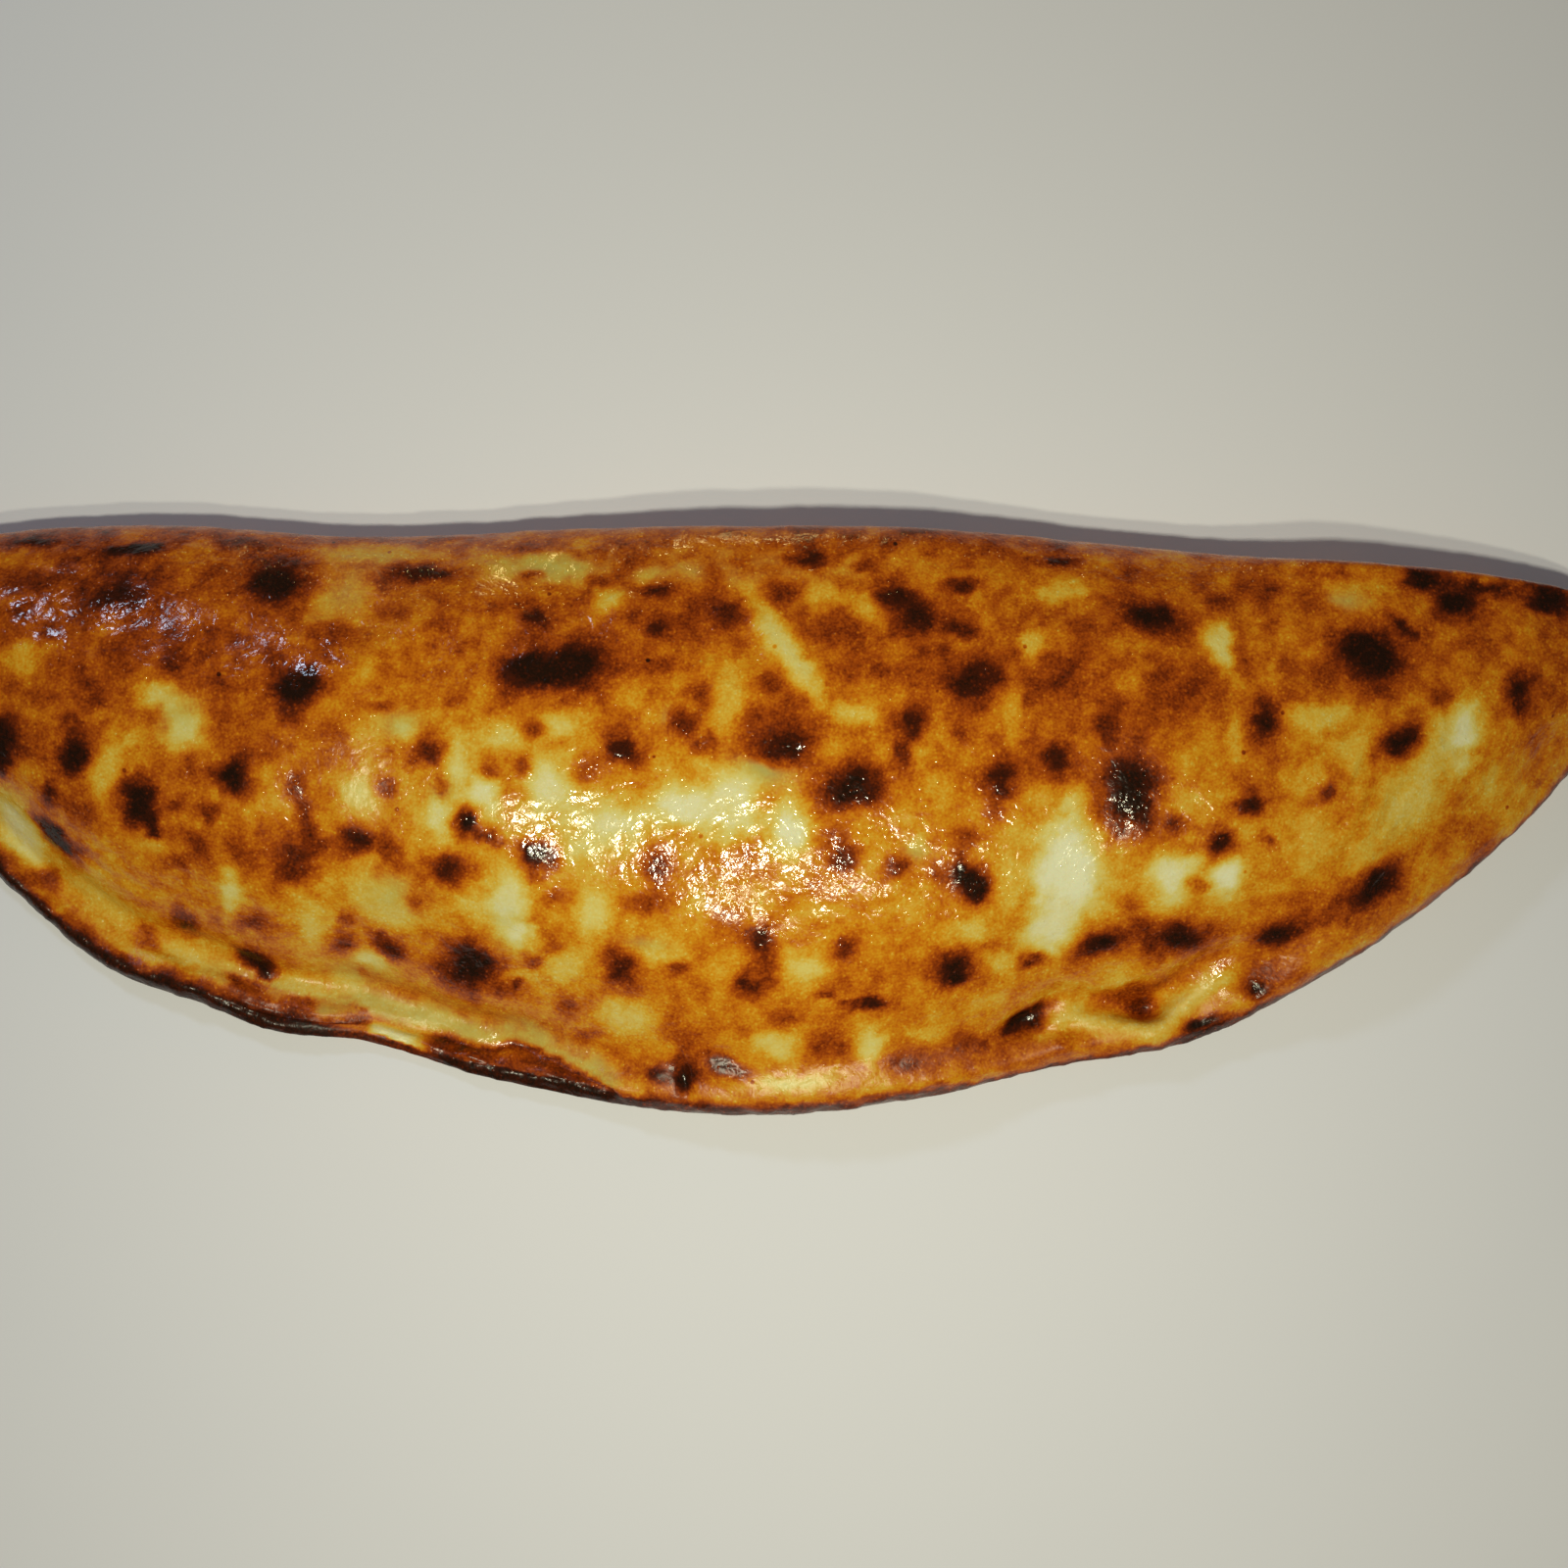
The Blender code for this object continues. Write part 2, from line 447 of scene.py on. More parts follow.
@dataclass
class Dough:
    """The folded dough: its outline, cross-section and lumps."""

    length: float = 0.340
    crest_height: float = 0.031
    lip_width: float = 0.0098
    lip_share: float = 0.22
    lip_thickness: float = 0.0048
    tip_rounding: float = 0.005
    tip_lift: float = 0.0025
    tip_lift_from: float = 0.120
    lip_curl: float = 0.0014
    curl_length: float = 0.0125
    curl_change_length: float = 0.031
    lump_height: float = 0.0011
    lump_length: float = 0.024
    # The level, share and fineness of each set of lumps
    lump_waves: Rows = ((0.4, 1.0, 1.0), (0.9, 0.4, 2.3))
    stations: int = 440
    ring: int = 220
    fold_undercut: float = 0.06
    front_edge: Line = (
        (-0.17, 0.031), (-0.155, 0.0045), (-0.1385, -0.0115), (-0.115, -0.03), (-0.102, -0.0344),
        (-0.085, -0.0404), (-0.072, -0.0416), (-0.046, -0.0489), (0, -0.0557), (0.037, -0.0521),
        (0.06, -0.0466), (0.083, -0.0426), (0.111, -0.0292), (0.1385, -0.0098), (0.157, 0.0079),
        (0.17, 0.029),
    )
    back_edge: Line = (
        (-0.17, 0.031), (-0.162, 0.047), (-0.1385, 0.0533), (-0.102, 0.0542), (-0.074, 0.0522),
        (-0.03, 0.0533), (0.005, 0.0529), (0.033, 0.0527), (0.065, 0.0509), (0.102, 0.0471),
        (0.1385, 0.0445), (0.157, 0.0417), (0.17, 0.029),
    )
    crest_line: Line = (
        (-0.17, 0.16), (-0.16, 0.39), (-0.14, 0.66), (-0.1, 0.88), (-0.04, 0.98), (0.01, 1),
        (0.06, 0.96), (0.11, 0.82), (0.14, 0.62), (0.16, 0.38), (0.17, 0.16),
    )
    pressed_line: Line = (
        (-0.17, 0.8), (-0.15, 1), (-0.1, 1), (-0.03, 0.95), (-0.008, 0.6), (0.035, 0.55),
        (0.06, 0.85), (0.09, 0.75), (0.11, 0.1), (0.13, 0), (0.17, 0),
    )
    lip_knots: Line = ((0.40, 0.00), (0.04, 0.22), (0.00, 0.58), (0.26, 1.00), (0.95, 0.72))
    round_edge_knots: Line = ((0.30, 0.00), (0.03, 0.09), (0.00, 0.23), (0.22, 0.42), (0.90, 0.62))
    dome_knots: Line = (
        (0.1, 0.36), (0.24, 0.75), (0.41, 0.96), (0.58, 1), (0.75, 0.91), (0.91, 0.66), (1, 0.32),
    )
    base_knots: tuple[float, ...] = (0.975, 0.90, 0.60, 0.28)
    # How far in from the front edge the upper sheet ends, in millimetres, where that shows,
    # and the height, length and start of its waves
    seam_line: Line = (
        (-104, 4), (-80, 3.8), (-67, 4.4), (-60, 5.2), (-52, 5.6), (-42, 8), (-33, 6.4), (-25, 3),
        (-20, 0),
    )
    seam_rise: Span = (-104, -88)
    seam_fall: Span = (-19, -25)
    seam_waves: Rows = ((0.4, 2.3, 0.0), (0.5, 5.1, 1.0))
    # Places on the ridge of the pleat towards the right, in millimetres, and its two ends
    pleat_line: Line = (
        (57, -38.8), (62, -37.4), (67, -38.6), (72, -40), (77, -40.3), (80.5, -39), (83, -36),
        (86, -32.8), (89.5, -30.6), (95, -29),
    )
    pleat_rise: Span = (55, 60)
    pleat_fall: Span = (97, 90)

    def __post_init__(self) -> None:
        """Counts the cross-section's knots."""
        self.crease_knot = len(self.lip_knots) - 1
        self.fold_knot = self.crease_knot + len(self.dome_knots)
        self.knots = self.fold_knot + 1 + len(self.base_knots)

    def along(self, line: Line, x: Array) -> Array:
        """The value of a line at places along the pide, smooth round both tips.

        Args:
            line: Pairs of a place and a value.
            x: The places.

        Returns:
            The values.
        """
        places, values = np.array(line).T
        turn = np.arccos(np.clip(-2.0 * places / self.length, -1.0, 1.0))
        at = np.arccos(np.clip(-2.0 * x / self.length, -1.0, 1.0))
        return smooth_through(turn, values, at)

    def inward(self, x: Array, y: Array) -> Array:
        """How far points lie from the front edge, square to it.

        Args:
            x: Their places along the pide, in metres.
            y: Their places across it.

        Returns:
            The distances, in metres.
        """
        before, edge, after = (self.along(self.front_edge, x + k * MM) for k in (-1, 0, 1))
        slope = (after - before) / MM / 2
        return (y - edge) / np.sqrt(1.0 + slope**2)

    def spots(self, points: Array) -> tuple[Array, Array, Array]:
        """How far along, across and in from the front edge points lie, in millimetres."""
        x, y, _ = points.T
        return x / MM, y / MM, self.inward(x, y) / MM

    def past_seam(self, x: Array, inward: Array) -> tuple[Array, Array]:
        """Where points lie to the upper sheet's edge.

        Args:
            x: Places along the pide, in millimetres.
            inward: Places in from the front edge, in millimetres.

        Returns:
            How far in from the sheet's edge they lie, and how plainly that edge shows.
        """
        places, widths = np.array(self.seam_line).T
        wander = sum(high * np.sin(x / long + start) for high, long, start in self.seam_waves)
        shown = between(self.seam_rise, self.seam_fall, x)
        return inward - np.interp(x, places, widths) - wander, shown

    def off_pleat(self, x: Array, y: Array) -> tuple[Array, Array]:
        """Where points lie to the pleat's ridge.

        Args:
            x: Places along the pide, in millimetres.
            y: Places across it.

        Returns:
            How far behind the ridge they lie, and how plainly it shows there.
        """
        off = np.full(len(x), np.inf)
        for (x0, y0), (x1, y1) in zip(self.pleat_line, self.pleat_line[1:]):
            long, wide = x1 - x0, y1 - y0
            share = ((x - x0) * long + (y - y0) * wide) / (long**2 + wide**2)
            share = np.clip(share, 0.0, 1.0)
            right, up = x - x0 - share * long, y - y0 - share * wide
            here = np.copysign(np.hypot(right, up), up * long - right * wide)
            off = np.where(np.abs(here) < np.abs(off), here, off)
        return off, between(self.pleat_rise, self.pleat_fall, x)

    def section(self, x: Array) -> Array:
        """The closed cross-section's knots at each place.

        Args:
            x: The places along the pide.

        Returns:
            A row of (y, z) knots for each place.
        """
        front = self.along(self.front_edge, x)
        width = self.along(self.back_edge, x) - front
        into_tip = (np.abs(x) - self.length / 2 + self.tip_rounding) / self.tip_rounding
        thinning = np.sqrt(1.0 - np.clip(into_tip, 0.0, 1.0) ** 2)
        crest = self.along(self.crest_line, x) * self.crest_height * thinning
        pressed = self.along(self.pressed_line, x)
        lip_width = np.minimum(self.lip_width, self.lip_share * width)
        lip_thickness = self.lip_thickness * thinning
        dome_width = width - lip_width
        rows = []
        for flat, rounded in zip(self.lip_knots, self.round_edge_knots):
            across = mixed(rounded[0], flat[0], pressed) * lip_width
            rows.append((across, mixed(rounded[1] * crest, flat[1] * lip_thickness, pressed)))
        crease = rows[self.crease_knot][1]
        for across, up in self.dome_knots:
            rows.append((lip_width + across * dome_width, crease + up * (crest - crease)))
        for across in self.base_knots:
            undercut = self.fold_undercut if across == self.base_knots[0] else 0.0
            rows.append((lip_width + across * dome_width, undercut * crest))
        return np.stack([np.stack([front + across, up], -1) for across, up in rows], 1)

    def plain(self, x: Array, knot: Array) -> Array:
        """Points of the body before any relief.

        Args:
            x: Their places along the pide.
            knot: Their places round the cross-section, counted in knots.

        Returns:
            The points.
        """
        knots = self.section(x)
        first = np.floor(knot).astype(int)
        t = (knot - first)[:, None]
        rows = np.arange(len(x))
        before, start, end, after = (knots[rows, (first + k) % self.knots] for k in (-1, 0, 1, 2))
        bend = 2.0 * before - 5.0 * start + 4.0 * end - after
        twist = 3.0 * (start - end) + after - before
        points = start + 0.5 * t * (end - before + t * (bend + t * twist))
        return np.column_stack([x, points[:, 0], np.maximum(points[:, 1], 0.0)])

    def lumps(self, points: Array) -> Array:
        """How far the filling pushes the top crust up.

        Args:
            points: Points of the crust.

        Returns:
            The rise at each.
        """
        heights = [
            sum(
                share * noise.noise(Vector((x, y, level)) / self.lump_length * finer)
                for level, share, finer in self.lump_waves
            )
            for x, y in points[:, :2]
        ]
        return self.lump_height * np.array(heights)

    def shaped(self, points: Array, knot: Array) -> Array:
        """The body with its lumps, curled lip and lifted tips.

        Args:
            points: Points of the plain body.
            knot: Their places round the cross-section.

        Returns:
            The points, moved.
        """
        x, y, z = points.T
        crease, fold = self.crease_knot, self.fold_knot
        on_dome = between((crease, crease + 2), (fold, fold - 2), knot)
        z = z + on_dome * self.lumps(points)
        curl = np.sin(x / self.curl_length) * np.sin(x / self.curl_change_length + 1.0)
        curl = 0.5 + 0.5 * curl
        share = (y - self.along(self.front_edge, x)) / self.lip_width
        z = z + self.lip_curl * curl * ease(1.1, 0.0, share)
        z = z + self.tip_lift * ease(self.tip_lift_from, self.length / 2, np.abs(x)) ** 1.5
        return np.column_stack([x, y, z])


@dataclass
class Relief:
    """Everything finer than the body: crimps, folds, dents, wrinkles, blisters."""

    dough: Dough
    # Raised and sunken places, as rows of Patch values with their height in millimetres
    dabs: Rows = (
        # the crimps towards the right
        (54, -38.6, 12, 3.6, -2.4, 26), (77, -36.6, 7, 5, -1.6, -10), (60, -43, 13, 5, 1.3, 10),
        (91, -33.5, 9, 5, 1.2, 20), (87, -38.6, 8, 2.5, -0.6, 14), (97, -32.5, 5, 4, -0.9),
        (72, -31, 16, 2.2, 0.4, 18), (70, -33.6, 18, 2.2, -0.4, 18),
        # the folded nub near the middle
        (-9.5, -49.5, 2.4, 8, -1.7, 6), (-14.5, -48.5, 6, 4.5, 1.1), (-3, -48, 10, 4, 1.1, -18),
        (-2, -45, 9, 2, -0.6, -22),
        # the bead along the left of the lip
        (-121, -18.5, 20, 3, 1, -38), (-107, -27.5, 10, 3, 1, -26), (-96, -31.5, 10, 3, 0.8, -22),
        (-84, -32.5, 12, 3, 1, -8), (-92, -31.5, 9, 2, -0.6, -12),
        # charred knobs on the lip
        (-57, -43, 5, 4, 0.6), (-50, -44.5, 6, 4, 0.8, 10), (-42, -44.5, 6, 4, 0.8),
        (-35, -47, 6, 3.5, 0.6),
        # on the dome
        (-12, -25, 60, 20, 1.1), (-48, -33.5, 24, 9, 1.2, -12), (-66, 25.5, 44, 12, 1.2, 38),
        (-153, 32, 40, 26, 1.5), (8, 28, 26, 3, 0.45, -54), (4, 26, 22, 3, -0.25, -54),
        (-5, 25, 6, 2, 0.4, 25), (-11.5, 16, 1.6, 3, 0.35), (12, 11, 4, 1.8, 0.45, -10),
        (-15.5, -24.5, 7, 1.3, 0.3, -5), (119.5, -13, 13, 6, -0.7, 35), (-60, 14, 12, 10, 0.25),
        (-77, 22, 10, 7, 0.35), (-31, 25, 19, 9, 0.3),
    )
    # Where wrinkles lie and how deep, their direction in degrees and their spacing
    wrinkle_zones: tuple[tuple[Patch, float, float], ...] = (
        (Patch(-128, 32, 60, 22, 0.24), 25.0, 2.4),
        (Patch(113, 2, 20, 36, 0.42), 62.0, 2.6),
        (Patch(-119, -12, 24, 15, 0.4), -48.0, 2.6),
        (Patch(-136, -2, 12, 20, 0.4), -65.0, 2.6),
        (Patch(-75, 30, 40, 16, 0.07), 20.0, 2.2),
    )
    wrinkle_stretch: float = 5.0
    # Heights, depths and sizes, in millimetres
    swell_height: float = 0.22
    swell_size: float = 9.0
    ripple_height: float = 0.07
    ripple_size: float = 2.6
    blister_height: float = 0.1
    blister_ripple: float = 0.06
    rim_depth: float = 8.0
    rim_ripple: float = 0.4
    sheet_step: float = 1.3
    sheet_roll: float = 0.25
    slit_depth: float = 0.6
    crease_depth: float = 0.6
    pleat_height: float = 1.6
    valley_depth: float = 1.0
    seed: int = 5

    def __post_init__(self) -> None:
        """Makes the waves that the fine relief follows."""
        self.clouds = Clouds(self.seed)

    def height(self, points: Array, normals: Array, bake: Array) -> Array:
        """How far each point stands out of the body, along its normal, in metres.

        Args:
            points: The body's points.
            normals: Their normals.
            bake: How far each is baked, from 0 to 1.

        Returns:
            The height.
        """
        at = points / MM
        x, y, inward = self.dough.spots(points)
        top = ease(-0.1, 0.35, normals[:, 2])
        swell = self.clouds.fine(at, self.swell_size, 3) * (0.35 + 0.65 * top)
        ripple = self.clouds.fine(at + 90.0, self.ripple_size, 2)
        blister = self.blister_height + self.blister_ripple * self.clouds.fine(at + 11.0, 3.0, 2)
        marks = hills(self.dabs, x, y) + self.seam(x, inward) + self.pleat(x, y)
        marks += self.wrinkles(at) + self.ripple_height * ripple + ease(0.72, 0.98, bake) * blister
        rim = ease(self.rim_depth, 0.0, inward) * (0.4 + 0.6 * top)
        rim = rim * self.rim_ripple * self.clouds.fine(at + 23.0, 4.0, 3)
        return (self.swell_height * swell + top * marks + rim) * MM

    def seam(self, x: Array, inward: Array) -> Array:
        """The edge of the upper sheet, pressed on the lower one.

        Args:
            x: Places along the pide, in millimetres.
            inward: Places in from the front edge, in millimetres.

        Returns:
            The height, in millimetres.
        """
        past, shown = self.dough.past_seam(x, inward)
        step = self.sheet_step * ease(0.5, -0.5, past) * ease(-1.0, 2.0, inward)
        roll = self.sheet_roll * ridge(1.6, 1.3, past)
        slit = self.slit_depth * ridge(-0.4, 0.5, past)
        crease = self.crease_depth * ease(-28.0, -45.0, x) * ridge(10.5, 1.2, inward)
        return shown * (roll - step - slit) - crease

    def pleat(self, x: Array, y: Array) -> Array:
        """The pleat pinched into the lip, and the valley behind it.

        Args:
            x: Places along the pide, in millimetres.
            y: Places across it.

        Returns:
            The height, in millimetres.
        """
        off, shown = self.dough.off_pleat(x, y)
        valley = self.valley_depth * ridge(3.9, 1.6, off)
        return shown * (self.pleat_height * ridge(0.0, 2.3, off) - valley)

    def wrinkles(self, at: Array) -> Array:
        """Fine creases where the crust dried and shrank.

        Args:
            at: The body's points, in millimetres.

        Returns:
            The height, in millimetres.
        """
        x, y, z = at.T
        total = np.zeros(len(at))
        for zone, angle, spacing in self.wrinkle_zones:
            along, across = turned(x, y, angle)
            stretched = np.column_stack([along / self.wrinkle_stretch, across, z])
            total += zone.hill(x, y) * self.clouds.fine(stretched, spacing, 2)
        return total


# ------------------------------ the baking


@dataclass
class Baking:
    """How far each point of the crust is baked: 0 is raw and pale, 1 is char."""

    dough: Dough
    front_browning: float = 0.44
    back_browning: float = 0.59
    base_browning: float = 0.55
    burnt_browning: float = 0.98
    # How fully tones are laid on, and each kind's fall and power of cover
    tone_share: float = 0.8
    tone_fade: Span = (1.1, 2.0)
    pale_fade: Span = (0.75, 3.0)
    scorch_fade: Span = (0.72, 2.4)
    # How far patches and their edges are shaken, in millimetres
    patch_shake: float = 0.8
    pale_shake: float = 1.44
    scorch_shake: float = 1.12
    # The browning of what the lip shows; the lobe is the lower sheet's pale part, and the slit's
    # dark line is painted shadow
    band_browning: float = 0.2
    band_retreat: float = 3.2
    bead_browning: float = 0.22
    pleat_browning: float = 0.2
    pink_browning: float = 0.56
    lobe_browning: float = 0.03
    lower_browning: float = 0.83
    slit_painted_shadow: float = 0.86
    rim_browning: float = 0.74
    rim_char: Span = (0.86, 0.97)
    pale_share: float = 0.85
    dark_share: float = 0.9
    # Rows of Patch values, with the browning there: first wide areas
    tones: Rows = (
        (-113, 38, 44, 24, 0.72), (-90, 26, 26, 16, 0.66), (-50, 27, 26, 16, 0.57),
        (-117, 17, 13, 18, 0.72), (-83, -8, 24, 16, 0.67), (-98, -6, 12, 14, 0.62),
        (-26, 36, 24, 10, 0.62), (-5, 34, 18, 12, 0.68), (18, 30, 16, 14, 0.7),
        (38, 28, 26, 10, 0.64), (62, 26, 20, 16, 0.7), (80, 20, 14, 16, 0.7),
        (100, 38, 24, 9, 0.68), (56, 12, 20, 12, 0.62), (68, 5, 26, 20, 0.66),
        (8, 20, 10, 8, 0.62), (-8, -31, 30, 12, 0.52), (26, -31, 34, 14, 0.58),
        (104, 26, 16, 16, 0.6), (142, 30, 20, 14, 0.6), (100, -28, 30, 10, 0.6),
        (104, -20, 44, 9, 0.68), (-8, -42, 26, 9, 0.56), (38, -45, 44, 7, 0.66),
        (20, 50, 120, 5, 0.66), (-20, 43, 30, 5, 0.46), (-72, -16, 16, 20, 0.38),
        (-38, -18, 26, 20, 0.34), (-46, 6, 22, 26, 0.36), (-14, -8, 44, 22, 0.34),
        (60, -10, 20, 24, 0.32), (122, 2, 26, 22, 0.38), (104, -8, 20, 12, 0.44),
        (-104, 14, 14, 16, 0.42), (12, 42, 30, 7, 0.5), (-68, 20, 22, 20, 0.46),
        (-8, 20, 34, 14, 0.5), (-72, 35, 18, 14, 0.46), (134, -4, 24, 12, 0.58),
        (88, 40, 30, 10, 0.7), (-10, -48.5, 18, 7, 0.82), (64, -43, 16, 4, 0.56),
    )
    # Patches that stayed pale; the rows at (-135, -2) and (-118, -16) are painted highlight, a
    # golden sheen on the left fold
    pale: Rows = (
        (-103.5, 19.3, 9, 5, 0.24, -35), (-99, 13.8, 6.5, 9, 0.2), (-114, 6.5, 5, 10, 0.28, -18),
        # painted highlight: the row at (-135, -2), a golden sheen on the left fold
        (-110, 11.5, 6, 3.5, 0.32, 30), (-130, 27, 8, 7, 0.35), (-135, -2, 8, 15, 0.15, 30),
        (-92.5, -15, 4.5, 8, 0.2), (-65, -17, 11, 8, 0.27, -35), (-61, -19, 6, 6, 0.26),
        (-77, -21, 6, 8, 0.26, 30), (-68, -27, 10, 3.5, 0.15, -5), (-73, -31, 8, 4, 0.25, -20),
        (-65, 13, 7, 6, 0.34), (-59, 13.5, 5, 6, 0.22), (-67, 2, 8, 7, 0.22),
        (-83, 1, 5, 4, 0.36), (-70, 38, 6, 12, 0.42, 10), (-67, 48, 22, 4, 0.34),
        (-44, 44, 12, 6, 0.36), (-34, 44, 12, 6, 0.28), (-23, 38, 4, 5, 0.26),
        (-31, 14, 8, 5, 0.24), (-41, 12, 9, 5, 0.24), (-50, 7, 4, 13, 0.18),
        (-53, -2, 5, 9, 0.16), (-45, 1, 7, 8, 0.12), (-33.5, 3, 9, 11, 0.14),
        (-22, -3.5, 12, 8, 0.14), (-9, -1, 14, 9, 0.1), (1, 2, 12, 10, 0.12),
        (-1, -3, 10, 6, 0.16), (10, -5, 8, 10, 0.08), (-27, -8, 8, 6, 0.2),
        (-41, -17, 7, 11, 0.14), (-40, -23, 6, 4, 0.12), (-25, -19, 7, 8, 0.2),
        (-31, -28.5, 6, 6, 0.26), (-14, -26, 9, 4, 0.27), (-8, -18, 6, 3, 0.3),
        (-20, -38, 10, 6, 0.24), (8.5, 29, 21, 5, 0.2, -57), (12, 24, 10, 4, 0.22, -60),
        (22, 16, 9, 3.5, 0.28, -15), (15, 38.5, 9, 4, 0.33), (24, 36, 6, 4, 0.34, -60),
        (54, 29, 4, 7, 0.3), (60, 39.5, 9, 5, 0.3), (50, 16, 4, 12, 0.38), (-1, 18, 5, 12, 0.3),
        (-18, 19, 6, 3, 0.36), (61, -2, 5, 9, 0.22), (60, -12, 12, 17, 0.04),
        (57, -22, 9, 9, 0.1), (50, -14, 6, 9, 0.3), (49, -28, 7, 4, 0.28),
        (42.5, -22.5, 6, 4, 0.26), (33, -7.5, 4, 3.5, 0.28), (12.5, -29, 8, 4.5, 0.22),
        (15, -19, 12, 3, 0.36), (28, -19, 8, 2.5, 0.36), (8, -43, 8, 5, 0.22),
        (9, -50, 15, 2.5, 0.2), (25, -43.5, 5.5, 6, 0.18), (36, -41, 8, 2.5, 0.3, -8),
        (63.5, -36.4, 6, 3, 0.18, -10), (72, -30.4, 6, 2.2, 0.34, 15), (79, -13, 8, 8, 0.1),
        (82, -10.5, 6, 3, 0.2, 20), (89, -13, 7.5, 7, 0.08), (77, -18, 5, 3, 0.3),
        (80, 0, 6, 4.5, 0.33), (90, 12, 3.5, 7, 0.36), (104, 15, 8, 5, 0.32),
        (104, -4.5, 7, 6, 0.34), (115, -8, 6, 4.5, 0.3, 30), (88, 28.5, 5, 10, 0.2, 15),
        (128, 12, 15, 6, 0.26, 63), (123, 1, 14, 8, 0.26, 50), (132, 8, 8, 4, 0.3, 10),
        # painted highlight: the row at (-118, -16), a golden sheen on the left fold
        (116, 41, 14, 3, 0.42), (86.5, -32.5, 8, 4, 0.3, 42), (-118, -16, 16, 6, 0.3, -48),
        (-103, -26.5, 18, 2.6, 0.26, -25), (112, 38.5, 9, 4, 0.42), (133.5, 14, 6, 11, 0.12, -12),
        (107, 16, 12, 4, 0.28), (112, 10, 7, 7, 0.32),
    )
